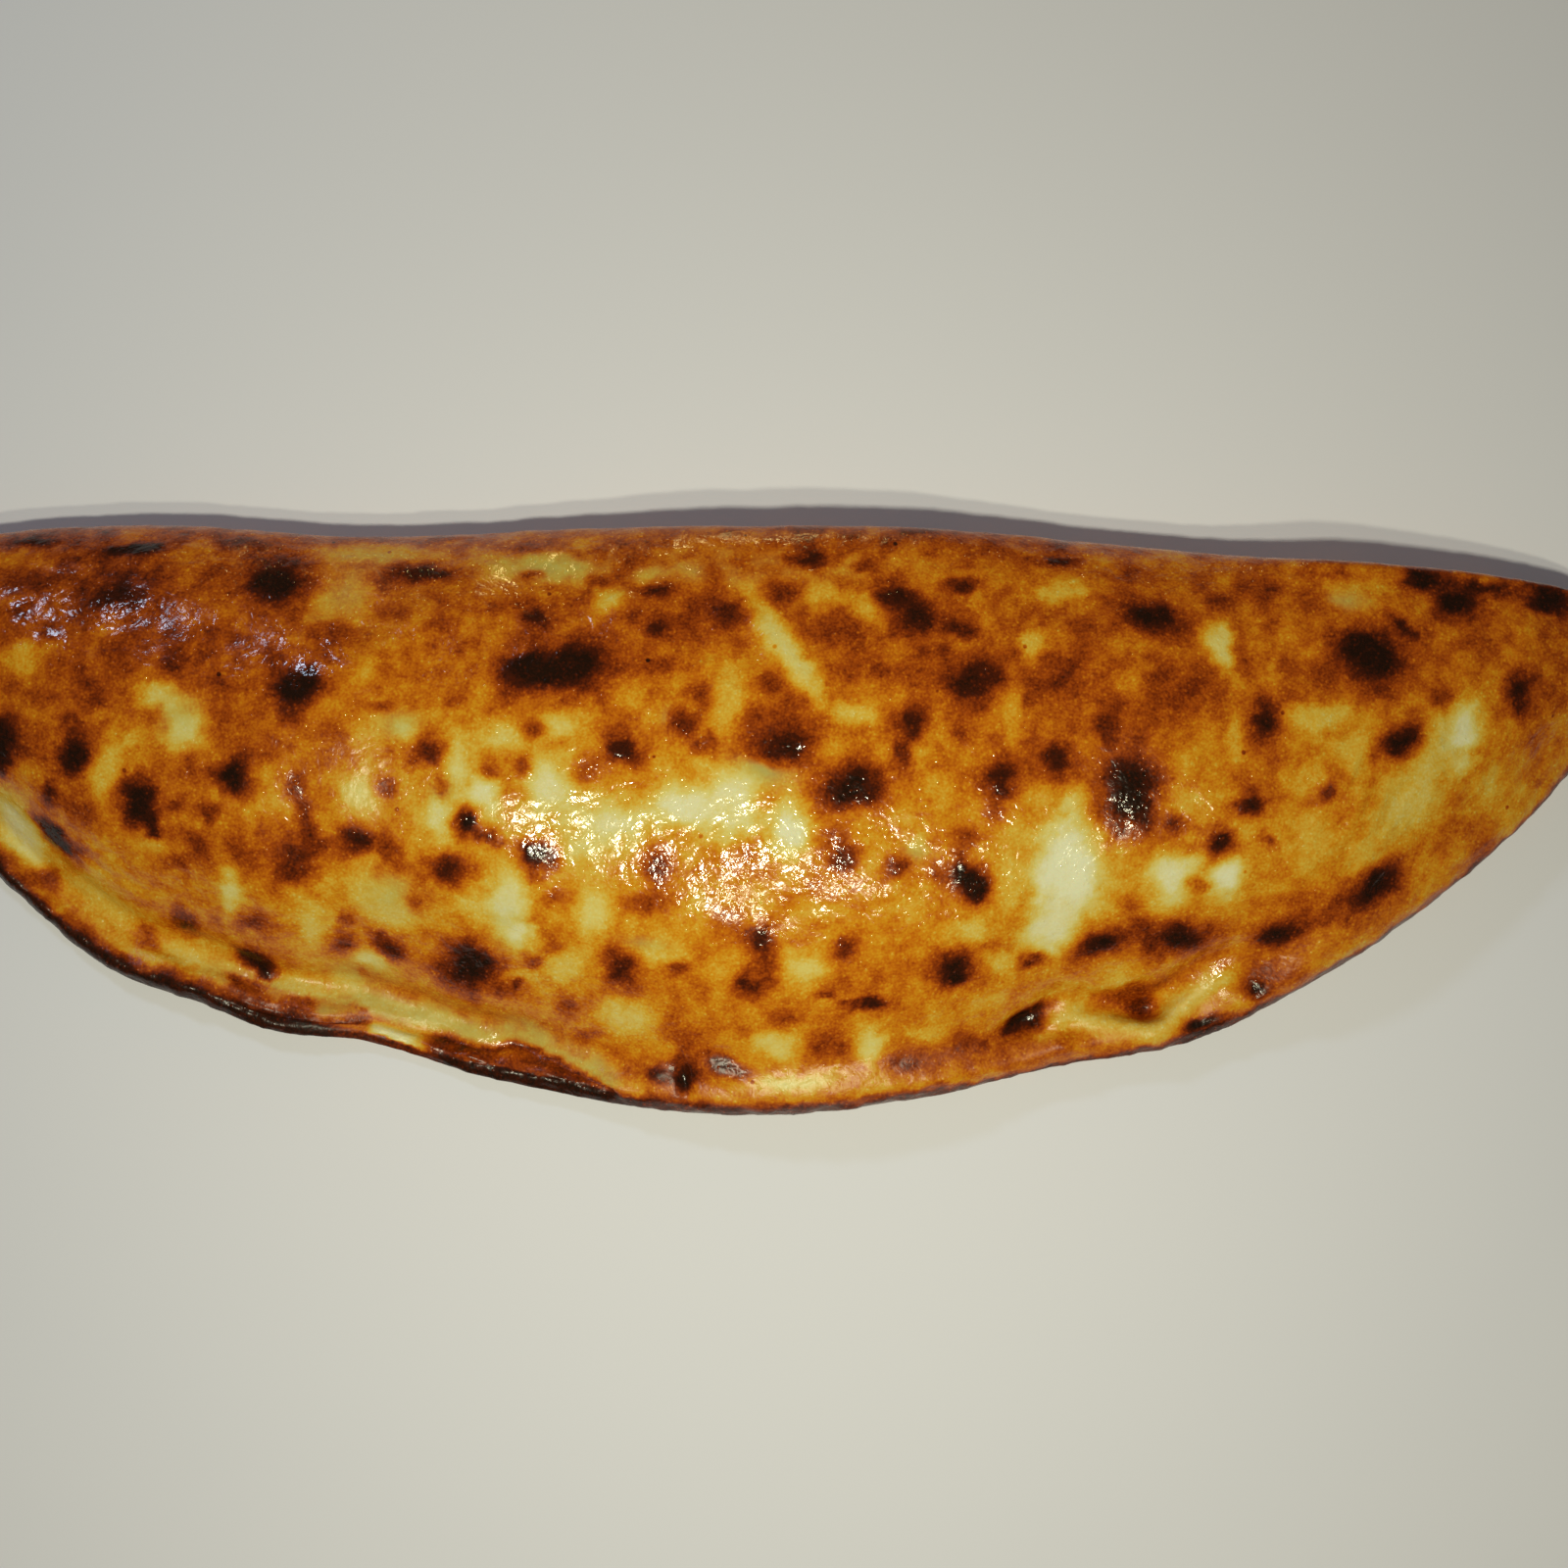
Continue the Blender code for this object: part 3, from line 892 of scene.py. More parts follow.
    # Blistered spots, from brown to char; the one in the slit under the pleat is partly painted
    # shadow
    scorches: Rows = (
        (-136, 12, 9, 10, 1), (-120, 8.5, 6, 7, 0.92), (-125.5, 3, 4.5, 4.5, 0.85),
        (-120, -0.5, 6, 5, 0.72), (-126, -4.5, 10, 4, 0.96, -42), (-130, -12, 6, 4, 0.72),
        (-108, 1, 7, 8, 0.95), (-106, -3, 4, 4, 0.9), (-101.5, 0.5, 4, 3, 0.76),
        (-98, 7, 4, 4.5, 0.7), (-90.5, 4.5, 5.5, 5.5, 0.95), (-88, 9, 3, 4, 0.78),
        (-95, -1.5, 4, 3, 0.82), (-105.5, 16, 3.5, 3.5, 0.62), (-84.2, 41.7, 10.5, 8.5, 1),
        (-111, 48.5, 9.5, 2.6, 0.98, 6), (-91, 50, 9, 2.5, 0.78), (-131, 50.5, 8, 3, 0.85),
        (-113, 38.5, 10, 6, 0.88), (-129, 42, 8, 4, 0.8), (-78.5, 21, 9, 6.5, 1, 20),
        (-80, 16.5, 4, 4, 0.8), (-72, 31, 8, 5, 0.76), (-57, 43, 14, 3.5, 0.9),
        (-112, 28, 4, 4, 0.75), (-63.5, 17.5, 3, 2, 0.76), (-62.5, 3.5, 3.5, 4, 0.72),
        (-78.5, 3.5, 4, 4, 0.72), (-77, -2, 3.5, 5.5, 0.78), (-76, -7.5, 4, 5, 0.8),
        (-80, -10, 6, 7, 0.84), (-98, -7, 4.5, 4.5, 0.78), (-101, -10.5, 3, 3, 0.74),
        (-103, -20.5, 5.5, 4.5, 0.86), (-111, -23.5, 5, 5, 0.68),
        (-89.5, -27.6, 9, 4.4, 0.99, -22), (-89, -20.5, 6, 3, 0.77), (-67.5, -6, 7.5, 4.5, 0.9),
        (-62, -8, 4, 4, 0.74), (-73, -24.5, 5, 4.5, 0.8), (-64, -25, 8.5, 4, 0.88, -28),
        (-71, -20, 3, 2, 0.72), (-70, -29.5, 4, 1.8, 0.62), (-58, -17, 4, 4, 0.66),
        (-48.5, -28, 10.5, 8, 1, -10), (-43.5, -31, 4, 4, 0.8), (-40, -32, 4, 3, 0.8),
        (-37, -27.5, 3, 2.5, 0.72), (-33, -24.5, 4, 3.5, 0.66), (-31, -35.5, 4, 4, 0.76),
        (-48, -3.5, 5, 5, 0.96), (-44, -6, 4, 3.5, 0.78, -30), (-51, -11.5, 8, 5, 0.88),
        (-35.5, -9.5, 6, 6, 0.93), (-32, -17, 5, 3.5, 0.72), (-30.5, 24.6, 16.5, 8.5, 1, 3),
        (-38, 24.3, 8, 5, 0.98, -10), (-36, 33.5, 6, 4, 0.92, -20), (-37.5, 42.5, 5, 2.5, 0.77),
        (-24, 41.5, 5, 2.5, 0.77), (-14.5, 39, 5.5, 2.5, 0.88), (-14, 32.5, 5, 3.2, 0.88),
        (-1.5, 35, 7.5, 4.5, 0.87), (-7, 37, 6, 4, 0.76), (-9, 14, 5.5, 5, 0.84),
        (-6, 10.5, 4, 3, 0.8), (-6, 19.5, 4.5, 4, 0.76), (-20, 9.5, 6, 5, 0.9),
        (-20, 13, 4, 4, 0.72), (-36.5, 13, 4, 3.5, 0.74), (-37.5, 7, 3, 3.5, 0.74),
        (-26.5, 6, 4, 4, 0.66), (-43.5, 6, 4.5, 2.8, 0.76), (-52.5, 3, 4, 3.5, 0.62),
        (-54.5, 9.5, 6, 5, 0.84), (-50, 19, 4, 3, 0.7), (-13, 25, 6, 3.5, 0.74),
        (-13.5, -11, 5, 8, 0.8, 20), (-15.5, -17.5, 9, 4, 0.73), (-20.5, -28.5, 5.5, 7, 0.88),
        (-9.5, -29, 4, 2.2, 0.76), (4.5, -24, 4.5, 6, 0.88), (6, -28.5, 4, 3, 0.76),
        (3.5, -32, 6.5, 4, 0.88), (-9.5, -41, 7, 4, 0.7), (-23, -44, 5, 4, 0.64),
        (-28, -41, 5, 2.2, 0.74), (-9.5, -49, 4, 7, 0.97), (-14.5, -48, 6, 3.5, 0.86),
        (-2, -47, 9, 2.8, 0.88, -22), (7.5, 11, 13, 8.5, 0.83), (9.5, 9.5, 7, 4.5, 0.92, -10),
        (21.5, 3, 11, 7.5, 0.99, 10), (17.5, 0, 6, 4, 0.8), (7, 21.5, 5, 4.5, 0.78),
        (9, 38.5, 6, 3.2, 0.82), (13.5, 45.5, 7, 3, 0.9), (24, 44, 3, 2, 0.76),
        (29.5, 38.5, 7, 5, 0.91, -30), (32.5, 34, 7.5, 5, 0.92, -12), (41, 40.5, 6, 3.2, 0.88),
        (41, 32, 5, 2.5, 0.88), (59.5, 45.5, 7, 1.8, 0.9), (18, 32, 8, 5, 0.76),
        (26, 23.5, 5, 4, 0.78), (34.5, 24, 4, 3.5, 0.72), (42.5, 21.5, 8.5, 6, 0.92, 15),
        (46, 24, 5, 4.5, 0.88), (43, 18, 6, 4, 0.76), (55, 23, 4, 5, 0.72),
        (53.5, 19, 3, 2.5, 0.76), (67, 14, 4, 7.5, 0.83), (62, 21.5, 5, 3.5, 0.74),
        (31.5, 14.5, 6, 5.5, 0.91), (30, 8.5, 3.5, 4.5, 0.83), (41, 13, 4, 4.5, 0.74),
        (47.5, 4.5, 6.5, 6.5, 0.91), (58.5, 7.5, 6, 6, 0.9), (71, 1.5, 9.5, 12.5, 1),
        (69, -5, 3.5, 3, 0.82), (42, -13, 8, 5.5, 1, -42), (44, -16, 4, 3, 0.97),
        (42, -6, 6, 5, 0.74), (47, -1, 3.5, 5, 0.72), (20, -9.5, 5, 5, 0.84),
        (18, -6.5, 4, 4, 0.74), (29.5, -11.5, 4.5, 3.5, 0.8), (40, -29.6, 7.5, 6.2, 0.96),
        (20, -25.5, 4, 3.2, 0.85), (17, -34, 3, 1.4, 0.82), (24, -35.5, 8, 2.4, 0.93, 8),
        (8.5, -38.5, 6, 2.5, 0.74), (17, -43, 7, 5, 0.76), (31, -46.5, 7, 3.5, 0.8),
        (43, -42.5, 7, 4, 0.76), (54, -28, 5, 2.5, 0.85), (66.5, -24.8, 9, 4.6, 0.95, 24),
        # the row at (54.5, -38.6) darkens the slit under the pleat: partly char, partly painted
        # shadow
        (54.5, -38.6, 11.5, 3.4, 1, 26), (76, -36.6, 6.5, 5, 0.87, -10),
        (74, -33.5, 16, 3, 0.78, 18), (81, -23.3, 13, 5.5, 0.95), (76.5, -25, 5, 5, 0.82),
        (100, -22.6, 8, 3.6, 0.95, 6), (117.5, -14, 13, 6.5, 0.97, 38),
        (97, -32.6, 4.5, 4.5, 0.98), (87, -38.8, 8, 2.4, 1, 14), (84, -14, 4, 2.5, 0.64),
        (76, 34.5, 13, 5, 0.95, -12), (115.5, 27.8, 13, 9.5, 1, -18), (117, 22, 5, 4, 0.82),
        (122.5, 33, 7, 2.6, 0.9, -42), (127, 42.3, 9, 4, 0.99, -5), (139.5, 41.5, 8, 2.8, 0.9),
        (133, 38, 8, 6, 0.98), (151, 39.5, 9, 5.5, 0.97, -12), (144, 21.5, 4.5, 7, 0.93),
        (129, 20, 4.5, 4.5, 0.78), (121, 12, 9, 5, 0.95, 30), (96, 15, 5.5, 7, 0.92),
        (93, 0.5, 5.5, 4, 0.92, 15), (107.5, 2.2, 4, 4.2, 0.83), (87.5, -6.5, 4.5, 5, 0.91),
        (79.5, -3, 4, 3, 0.8), (97, -6, 4, 2.4, 0.77, -30), (78, 23.5, 3, 2.6, 0.77),
        (80, 19, 7, 5, 0.74), (86, 24, 3.5, 3, 0.74), (107, 23, 2.8, 2.2, 0.74),
        (97.5, -31.5, 7, 6, 0.76), (-73, -34.5, 9, 2.2, 0.68, -12), (-61, -32.8, 14, 2, 0.54, -8),
        (-46, -34.8, 12, 2.4, 0.5, -8), (-93.8, -31.5, 9, 3.6, 0.78, -8),
        (-40.3, 3.5, 2.5, 9, 0.5), (6, 0.8, 4, 4, 0.5), (-8.8, -5.5, 5, 3, 0.46),
        (-18.8, -0.3, 4, 3, 0.36),
    )
    # How wide the burnt rim is along the front edge, in millimetres
    rim_line: Line = (
        (-170, 1.3), (-140, 2.2), (-118, 2.6), (-98, 2.6), (-88, 3.4), (-80, 3.4), (-74, 0.6),
        (-60, 0.3), (-54, 1.8), (-34, 2.4), (-16, 1.2), (38, 1), (46, 0.4), (60, 0.3), (78, 0.7),
        (88, 1.6), (98, 0.5), (170, 0.6),
    )
    fleck_count: int = 520
    fleck_sizes: Span = (2.0, 5.5)
    fleck_strengths: Span = (0.1, 0.6)
    fleck_levels: tuple[float, ...] = (0.28, 0.76, 0.76)
    seed: int = 11

    def __post_init__(self) -> None:
        """Draws the small flecks between the larger patches."""
        self.clouds = Clouds(self.seed)
        rng = np.random.default_rng(self.seed)
        self.flecks = [self.fleck(rng) for _ in range(self.fleck_count)]

    def fleck(self, rng: np.random.Generator) -> tuple[Patch, float]:
        """Draws one small fleck.

        Args:
            rng: Where its numbers come from.

        Returns:
            The fleck and the browning it fades to.
        """
        half = self.dough.length / MM / 2
        x, y = rng.uniform(-half, half), rng.uniform(-55.0, 55.0)
        size = rng.uniform(*self.fleck_sizes)
        width, strength = size * rng.uniform(0.6, 1.0), rng.uniform(*self.fleck_strengths)
        fleck = Patch(x, y, size, width, strength, rng.uniform(0.0, 180.0))
        return fleck, rng.choice(self.fleck_levels)

    def top(self, points: Array) -> Array:
        """The browning of the side that faces up, with painted shade towards the left end and
        along the back edge.

        Args:
            points: The body's points, in metres.

        Returns:
            The browning.
        """
        at = points / MM
        x = at[:, 0] + self.patch_shake * self.clouds.fine(at, 5.0, 4)
        y = at[:, 1] + self.patch_shake * self.clouds.fine(at + 200.0, 5.0, 4)
        bake = mixed(self.front_browning, self.back_browning, ease(-5.0, 25.0, y))
        for tone in patches(self.tones):
            bake += (tone.strength - bake) * self.tone_share * tone.cover(x, y, *self.tone_fade)
        bake += 0.1 * self.clouds.fine(at + 50.0, 12.0, 2)
        bake += 0.15 * self.clouds.fine(at + 400.0, 4.2, 4)
        bake = np.clip(bake, 0.1, 0.82)
        for fleck, level in self.flecks:
            bake += (level - bake) * fleck.hill(x, y)
        shake = self.clouds.fine(at + 70.0, 3.2, 4)
        for pale in patches(self.pale):
            level = pale.strength - 0.07 * ease(0.36, 0.16, pale.strength)
            share = pale.cover(x, y, *self.pale_fade, self.pale_shake * shake)
            bake += np.minimum(level - bake, 0.0) * share
        for scorch in patches(self.scorches):
            level = scorch.strength + 0.05 * ease(0.78, 0.95, scorch.strength)
            share = scorch.cover(x, y, *self.scorch_fade, self.scorch_shake * shake)
            bake += np.maximum(level - bake, 0.0) * share
        # painted shade: browned a little more towards the left end and along the back edge, where
        # less light falls
        painted_shade = 0.04 * ease(-25.0, -110.0, at[:, 0]) + 0.05 * ease(44.0, 52.0, at[:, 1])
        return bake + painted_shade * ease(0.15, 0.5, bake)

    def under(self, points: Array) -> Array:
        """The browning of the base, evenly done with burnt blotches.

        Args:
            points: The body's points, in metres.

        Returns:
            The browning.
        """
        at = points / MM
        bake = self.base_browning + 0.12 * self.clouds.fine(at + 700.0, 18.0, 4)
        burnt = ease(0.35, 0.85, self.clouds.fine(at + 900.0, 11.0, 3))
        return mixed(bake, self.burnt_browning, burnt)

    def field(self, points: Array, normals: Array) -> Array:
        """How far each point is baked.

        Args:
            points: The body's points, in metres.
            normals: Their normals.

        Returns:
            The browning, from 0 to 1.
        """
        down = ease(-0.15, -0.7, normals[:, 2])
        bake = mixed(self.top(points), self.under(points), down)
        return np.clip(self.lip(points, bake), 0.0, 1.0)

    def lip(self, points: Array, bake: Array) -> Array:
        """The browning with the pressed lip's pale band, dark seam and burnt rim.

        Args:
            points: The body's points, in metres.
            bake: Their browning without the lip.

        Returns:
            Their browning with it.
        """
        at = points / MM
        x, y, inward = self.dough.spots(points)
        inward = inward + 0.5 * self.clouds.fine(at + 500.0, 3.0, 3)
        past, shown = self.dough.past_seam(x, inward)
        # the upper sheet's pale edge; pairs of numbers are places along the lip
        above = past - self.band_retreat * between((-66, -76), (-99, -88), x)
        narrowing = 1.0 - 0.6 * ease(-56.0, -42.0, x)
        band = shown * ease(-0.2, 0.5, above) * ease(4.2, 2.6, above / narrowing)
        band = band * ease(0.8, 0.62, bake) * (0.3 + 0.7 * narrowing)
        level = self.band_browning + 0.1 * self.clouds.fine(at, 3.0, 3)
        bake = mixed(bake, level, self.pale_share * band)
        # the bead to the left, and the pleat to the right
        bead = between((-122, -112), (-88, -96), x) * ridge(4.9, 1.2, inward)
        bead = bead * ease(0.85, 0.7, bake)
        bake = mixed(bake, self.bead_browning, self.pale_share * bead)
        off, pleated = self.dough.off_pleat(x, y)
        bake = mixed(bake, self.pleat_browning, self.pale_share * pleated * ridge(0.0, 2.1, off))
        # the lower sheet, pink at first and burnt further on, and the slit above it, darkened as a
        # painted shadow
        below = shown * ease(0.0, -0.8, past)
        pinkish = below * between((-78, -71), (-54, -62), x)
        lobe = between((-70, -67.5), (-55, -58), x)
        level = mixed(self.pink_browning, self.lobe_browning, lobe)
        bake = mixed(bake, level, self.dark_share * pinkish)
        lower = self.dark_share * below * ease(-62.0, -54.0, x)
        level = self.lower_browning + 0.22 * self.clouds.fine(at + 650.0, 5.0, 3)
        bake = mixed(bake, level, lower)
        bake = mixed(bake, self.pink_browning, lower * Patch(-43, -44, 9, 2.6).hill(x, y))
        # painted shadow: a dark line along the slit under the upper sheet's edge
        slit = 0.8 * shown * ridge(-0.5, 0.6, past) * (1.0 - 0.8 * lobe)
        bake = mixed(bake, self.slit_painted_shadow, slit)
        # the rim, browned and then charred outwards
        width = np.interp(x, *np.array(self.rim_line).T)
        out = inward / (width * (1.0 + 0.6 * self.clouds.fine(at + 620.0, 7.0, 3)))
        bake = mixed(bake, np.maximum(bake, self.rim_browning), ease(2.2, 1.0, out))
        char = mixed(*self.rim_char, ease(0.9, 1.8, width))
        return mixed(bake, np.maximum(bake, char), ease(1.2, 0.6, out))


# ------------------------------ the finish


@dataclass(frozen=True)
class CrustFinish:
    """Baked dough with a thin film of butter on it."""

    browning: Stops = (
        (0.00, (0.700, 0.690, 0.480)), (0.14, (0.640, 0.535, 0.165)),
        (0.28, (0.620, 0.390, 0.045)), (0.42, (0.590, 0.250, 0.009)),
        (0.54, (0.510, 0.140, 0.004)), (0.66, (0.350, 0.064, 0.003)),
        (0.78, (0.180, 0.025, 0.002)), (0.89, (0.058, 0.009, 0.002)),
        (1.00, (0.014, 0.005, 0.002)),
    )
    herb_green: Colour = (0.38, 0.38, 0.12)
    # Grains of the browning and of the surface: strength, size, detail, roughness, warp
    mottle: Rows = ((0.07, 0.0022, 3.0, 0.6), (0.06, 0.0009, 1.0, 0.6), (0.04, 0.00045, 0.0))
    pores: Rows = ((0.022, 0.0013, 1.0, 0.5, 1.4), (0.055, 0.0028, 0.0, 0.5, 1.0))
    # Beads of fat, their size and the specks' edge as shares of the spacing; the beads also
    # lighten the colour, a painted highlight
    bead_spacing: float = 0.0012
    bead_size: float = 0.32
    bead_painted_highlight: float = 0.14
    bead_gloss: float = 0.12
    bead_height: float = 0.08
    speck_spacing: float = 0.011
    speck_edge: Span = (0.025, 0.05)
    speck_dark: float = 0.25
    grit_size: float = 0.0008
    grit_height: float = 0.02
    bare_roughness: float = 0.36
    cloud_roughness: float = 0.04
    cloud_size: float = 0.004
    butter_gloss: float = 0.25
    char_gloss: float = 0.1
    # What light does on and in the dough, by the shader's own names
    light: tuple[tuple[str, Union[float, Colour]], ...] = (
        ("Subsurface Weight", 0.06),
        ("Subsurface Radius", (1.0, 0.45, 0.15)),
        ("Subsurface Scale", 0.0012),
        ("IOR", 1.4),
        ("Specular IOR Level", 0.36),
    )

    def material(self) -> bpy.types.Material:
        """Makes the finish.

        Returns:
            The material.
        """
        material, board, shader = new_finish(SLOT)
        bake = board.painted("bake")
        butter = board.painted("butter")
        browned = bake.step(0.02, 0.4)
        charred = bake.step(0.72, 0.95)
        shake = (0.3 + 0.7 * browned) * (1.0 - 0.4 * charred)
        specks = 1.0 - board.cells(self.speck_spacing).step(*self.speck_edge)
        beads = (1.0 - board.cells(self.bead_spacing) / self.bead_size).clipped()
        shade = bake + board.grains(self.mottle) * shake + self.speck_dark * specks
        # painted highlight: the beads lighten the browned colour where their glints would be
        shade = (shade - self.bead_painted_highlight * beads * browned).clipped()
        colour = board.add("ShaderNodeValToRGB", {"stops": self.browning}, {0: shade})
        green = board.painted("green") * (1.0 - bake.step(0.4, 0.65))
        roughness = self.bare_roughness + self.cloud_roughness * board.grain(self.cloud_size)
        roughness = roughness - self.butter_gloss * butter - self.bead_gloss * beads
        roughness = roughness - self.char_gloss * charred * (1.0 - butter)
        height = board.grains(self.pores) + self.bead_height * beads * beads
        height = height + self.grit_height * charred * board.grain(self.grit_size, 0.0)
        bumps = {"Height": height, "Distance": MM, "Strength": 1.0}
        tinted = {0: green, 6: colour, 7: (*self.herb_green, 1.0)}
        varied = {
            "Base Color": board.add("ShaderNodeMix", {"data_type": "RGBA"}, tinted, 2),
            "Roughness": roughness.clipped(),
            "Normal": board.add("ShaderNodeBump", {}, bumps, "Normal"),
        }
        board.connect(shader, {**varied, **dict(self.light)})
        return material


# ------------------------------ the piece


@dataclass
class Pide:
    """The whole pide: its skin, painted with its baking and dressed in its finish."""

    dough: Dough
    relief: Relief
    baking: Baking
    finish: CrustFinish
    # How closely the mesh's rings crowd towards both tips
    tip_packing: int = 15
    # Shares of a turn round the ball, and the knots they become
    turns: tuple[float, ...] = (0.0, 0.20, 0.88, 1.0)
    turn_knots: tuple[float, ...] = (0.0, 5.0, 12.0, 16.0)
    # The butter on the dome, more of it in the middle, and how unevenly it lies
    butter_film: float = 0.72
    butter_pool: Patch = Patch(5, 0, 130, 60, 0.28)
    butter_swell: float = 0.2
    # olive tint along the upper sheet's edge: partly the dough's own tone, partly painted shade in
    # the fold
    seam_olive_and_shade: float = 0.4
    # Where butter ran on to the lip, and where it stayed dry, as rows of Patch values
    wet_spots: Rows = (
        (-47, -43, 20, 6, 0.7), (-9, -48, 5, 8, 0.6), (62.5, -41.5, 5, 4, 1),
        (82.5, -38.3, 3, 4, 1), (92, -30.5, 9, 5, 1), (96.5, -33, 4, 4, 0.9),
        (44, -49, 12, 3, 0.8), (33, -44, 26, 5, -0.8), (-124, 37, 40, 16, 0.4),
        (-72, 28, 26, 26, 0.4), (71, -39.8, 12, 4, -0.9), (86, -34, 9, 5, -0.9, 45),
        (55, -43.5, 10, 3, -0.9, 8), (-68, -33, 34, 5, -0.8, -8), (-65, -38, 16, 3, -0.6, -10),
        (0, 53, 340, 8, -0.6), (-67, 4, 16, 22, -0.7), (-78, -39.5, 20, 4, -0.9),
        (58, -35.5, 6, 4, -0.9), (-3, -46, 8, 4, -0.8), (-13.5, -48, 6, 6, -0.7),
        (18, 43.5, 80, 9, 0.8), (-69, 42, 16, 20, -0.9),
    )
    # Where herbs in the filling tint the crust, as rows of Patch values; the rows at (-71, 40),
    # (-66, 46) and (-76, 33) are partly the crust's olive tone and partly painted sheen
    herbs: Rows = (
        (-11.5, 16, 2.4, 4, 0.4), (12, 12, 5, 2.4, 0.6, -10), (-16, -24, 9, 2, 0.4, -8),
        (-52, 3, 5, 4, 0.3), (-60, 15, 8, 5, 0.35), (6, 7, 12, 6, 0.7, -20), (33, -8, 5, 4, 0.4),
        (-62, -15, 12, 9, 0.3), (-70, -29, 14, 5, 0.4, -8), (-41, -20, 7, 12, 0.2),
        # partly painted sheen: the row at (-71, 40)
        (-5, 45, 60, 8, 0.3), (-35, 45, 20, 7, 0.4), (112, 38.5, 9, 4, 0.4), (-71, 40, 8, 9, 0.3),
        # partly painted sheen: the rows at (-66, 46) and (-76, 33)
        (-66, 46, 14, 6, 0.25), (-76, 33, 6, 8, 0.2), (-100, 17, 9, 10, 0.3),
    )

    def ball(self) -> tuple[bpy.types.Mesh, Array, Array]:
        """A ball whose poles become the two tips.

        Returns:
            Its mesh, and each vertex's share of the way along and round it.
        """
        sizes = {"u_segments": self.dough.ring, "v_segments": self.dough.stations, "radius": 1.0}
        mesh = new_mesh(NODE, bmesh.ops.create_uvsphere, **sizes)
        places = self.read(mesh.vertices, "co")
        along = 2.0 * np.arccos(np.clip(places[:, 2], -1.0, 1.0)) / math.pi - 1.0
        turn = np.arctan2(places[:, 1], places[:, 0]) / (2.0 * math.pi) % 1.0
        return mesh, along, turn

    @staticmethod
    def read(items: bpy.types.bpy_prop_collection, name: str) -> Array:
        """Three numbers of each of a mesh's items.

        Args:
            items: The vertices or their normals.
            name: What the numbers are called there.

        Returns:
            The numbers, one item to a row.
        """
        values = np.zeros(len(items) * 3)
        items.foreach_get(name, values)
        return values.reshape(-1, 3)

    @staticmethod
    def move(mesh: bpy.types.Mesh, points: Array) -> Array:
        """Moves a mesh's vertices.

        Args:
            mesh: The mesh.
            points: Where its vertices go.

        Returns:
            Their normals there.
        """
        mesh.vertices.foreach_set("co", points.ravel())
        mesh.update()
        return Pide.read(mesh.vertex_normals, "vector")

    def build(self) -> bpy.types.Object:
        """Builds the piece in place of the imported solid.

        Returns:
            The piece.
        """
        low, high = (np.array(corner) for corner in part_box(NODE))
        mesh, along, turn = self.ball()
        packing = self.tip_packing
        x = self.dough.length / 2 * (along * packing - along**packing) / (packing - 1)
        knot = np.interp(turn, self.turns, self.turn_knots)
        points = self.dough.shaped(self.dough.plain(x, knot), knot)
        normals = self.move(mesh, points)
        bake = self.baking.field(points, normals)
        points = points + normals * self.relief.height(points, normals, bake)[:, None]
        points[:, 2] = np.maximum(points[:, 2], 0.0)
        middle = (points.min(0) + points.max(0)) / 2
        points[:, :2] += ((low + high) / 2 - middle)[:2]
        points[:, 2] += low[2] - points[:, 2].min()
        self.move(mesh, points)
        self.paint(mesh, "bake", bake)
        self.paint(mesh, "butter", self.butter(points))
        self.paint(mesh, "green", self.green(points))
        mesh.shade_smooth()
        mesh.materials.append(self.finish.material())
        return placed("pide_crust", mesh)

    @staticmethod
    def paint(mesh: bpy.types.Mesh, name: str, values: Array) -> None:
        """Paints a value on each vertex of a mesh under a name."""
        layer = mesh.attributes.new(name, "FLOAT", "POINT")
        layer.data.foreach_set("value", values.astype(np.float32))

    def butter(self, points: Array) -> Array:
        """How thickly each point is buttered.

        Args:
            points: The skin's points, in metres.

        Returns:
            1 where it is wet, 0 where it is greasy and -1 where it is dry.
        """
        x, y, inward = self.dough.spots(points)
        wet = self.butter_film + self.butter_pool.hill(x, y)
        wet += self.butter_swell * self.baking.clouds.fine(points / MM + 60.0, 8.0, 2)
        wet *= ease(4.0, 13.0, inward)
        return np.clip(wet + hills(self.wet_spots, x, y), -1.0, 1.0)

    def green(self, points: Array) -> Array:
        """Where herbs in the filling show through the crust, and an olive tint along the seam that
        is partly its own tone and partly painted shade in the fold.

        Args:
            points: The skin's points, in metres.

        Returns:
            How green each point is.
        """
        x, y, inward = self.dough.spots(points)
        past, shown = self.dough.past_seam(x, inward)
        # partly painted shade: the olive tint along the seam's fold
        tint = self.seam_olive_and_shade * shown * between((0.0, 1.5), (6.5, 3.5), past)
        tint += hills(self.herbs, x, y)
        tint *= 1.0 + 0.5 * self.baking.clouds.fine(points / MM, 3.0, 3)
        return np.clip(tint, 0.0, 1.0)


# ------------------------------ the studio


@dataclass
class Lamp:
    """A square soft lamp that looks at the pide."""

    name: str
    place: tuple[float, float, float]
    size: float
    power: float
    colour: Colour
    spread: float = 180.0

    def build(self, target: Vector) -> None:
        """Hangs the lamp.

        Args:
            target: The point that it looks at.
        """
        light = bpy.data.lights.new(self.name, "AREA")
        light.size = self.size
        light.energy = self.power
        light.color = self.colour
        light.spread = math.radians(self.spread)
        lamp = placed(self.name, light)
        lamp.location = self.place
        lamp.rotation_euler = (target - lamp.location).to_track_quat("-Z", "Y").to_euler()


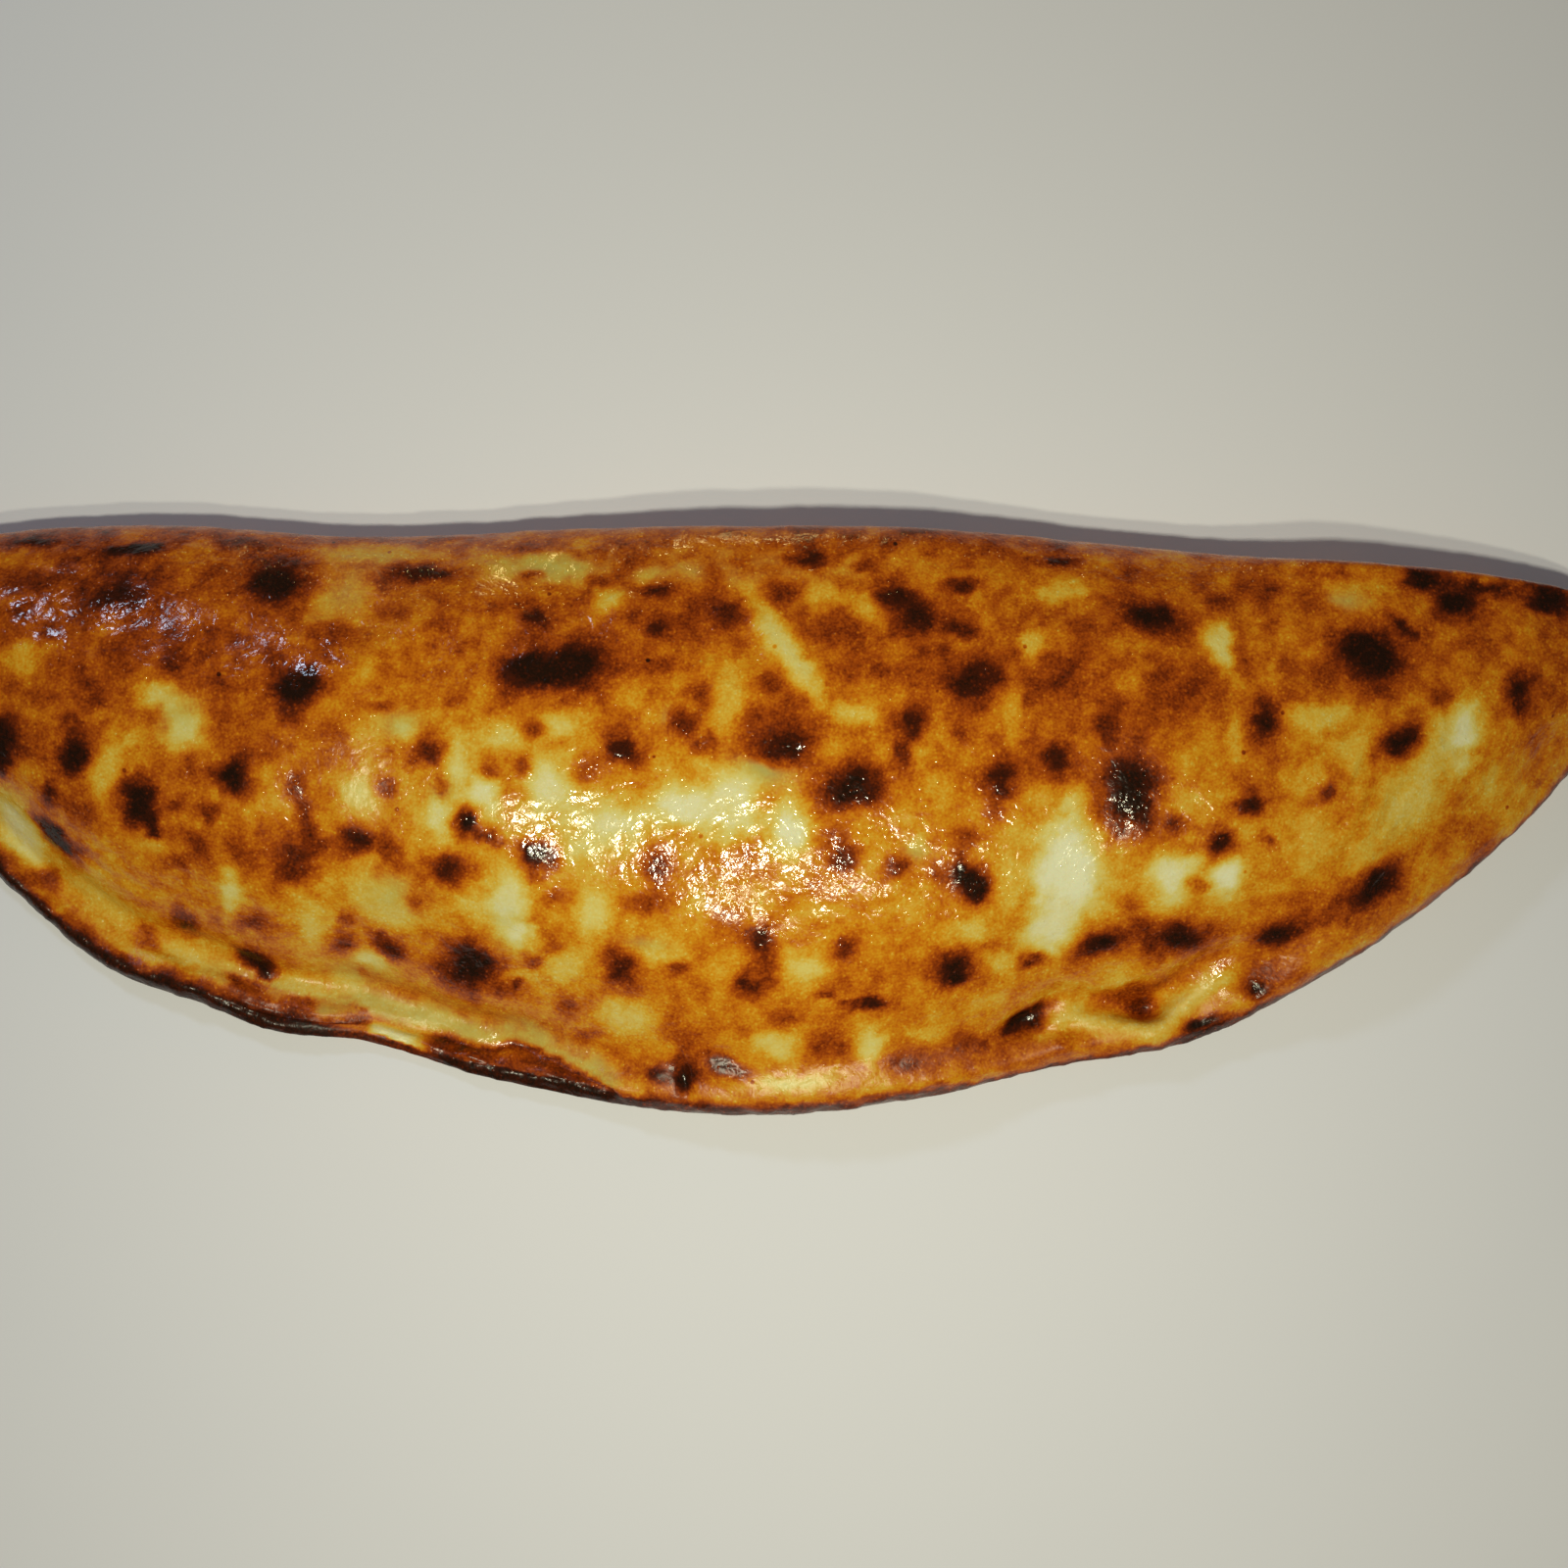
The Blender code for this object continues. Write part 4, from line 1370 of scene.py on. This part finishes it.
@dataclass
class Studio:
    """A pale floor, soft lamps and a camera that looks down on the pide."""

    elevation: float = 84.0
    distance: float = 0.480
    lens: float = 58.4
    target: tuple[float, float, float] = (0.0093, 0.0067, 0.005)
    floor_size: float = 3.0
    floor_colour: Colour = (0.71, 0.71, 0.80)
    floor_gap: float = 0.0002
    sky: float = 0.06
    lamps: tuple[Lamp, ...] = (
        Lamp("key_lamp", (-0.04, -0.175, 0.56), 0.03, 0.56, (1.0, 0.97, 0.72), 100.0),
        Lamp("side_lamp", (0.078, -0.25, 0.52), 0.022, 0.25, (1.0, 0.96, 0.66), 100.0),
        Lamp("window_lamp", (-0.40, 0.50, 0.50), 0.075, 0.8, (0.6, 0.78, 1.0)),
        Lamp("back_lamp", (-0.02, 0.66, 0.15), 0.05, 0.7, (1.0, 0.8, 0.3)),
    )

    def build(self) -> None:
        """Builds the floor, the lamps and the camera."""
        self.floor()
        for lamp in self.lamps:
            lamp.build(Vector(self.target))
        world = bpy.data.worlds.new("studio")
        world.use_nodes = True
        sky = {"Color": (1.0, 1.0, 1.0, 1.0), "Strength": self.sky}
        Board(world.node_tree).connect(world.node_tree.nodes["Background"], sky)
        bpy.context.scene.world = world
        bpy.context.scene.view_settings.view_transform = "Standard"
        self.camera()

    def floor(self) -> None:
        """Lays the floor just under the pide."""
        maker = bmesh.ops.create_grid
        mesh = new_mesh("floor", maker, x_segments=8, y_segments=8, size=self.floor_size / 2)
        material, board, shader = new_finish("pale_floor")
        look = {"Base Color": (*self.floor_colour, 1.0), "Roughness": 0.7}
        board.connect(shader, look)
        mesh.materials.append(material)
        floor = placed("floor", mesh)
        floor.location.z = -self.floor_gap

    def camera(self) -> None:
        """Sets the camera up."""
        data = bpy.data.cameras.new("camera")
        data.lens = self.lens
        data.sensor_width = 36.0
        data.clip_start = 0.01
        camera = placed("camera", data)
        angle = math.radians(self.elevation)
        back = Vector((0.0, -math.cos(angle), math.sin(angle)))
        camera.location = Vector(self.target) + self.distance * back
        camera.rotation_euler = (math.pi / 2 - angle, 0.0, 0.0)
        bpy.context.scene.camera = camera


def main() -> None:
    """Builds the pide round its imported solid, and the studio round the pide."""
    logging.basicConfig(level=logging.INFO, format="%(name)s: %(message)s")
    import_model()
    dough = Dough()
    pide = Pide(dough, Relief(dough), Baking(dough), CrustFinish())
    crust = pide.build()
    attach(crust, "root")
    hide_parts(NODE)
    LOG.info("%s: %d vertices", crust.name, len(crust.data.vertices))
    Studio().build()
    LOG.info("studio: built")


if __name__ == "__main__":
    main()
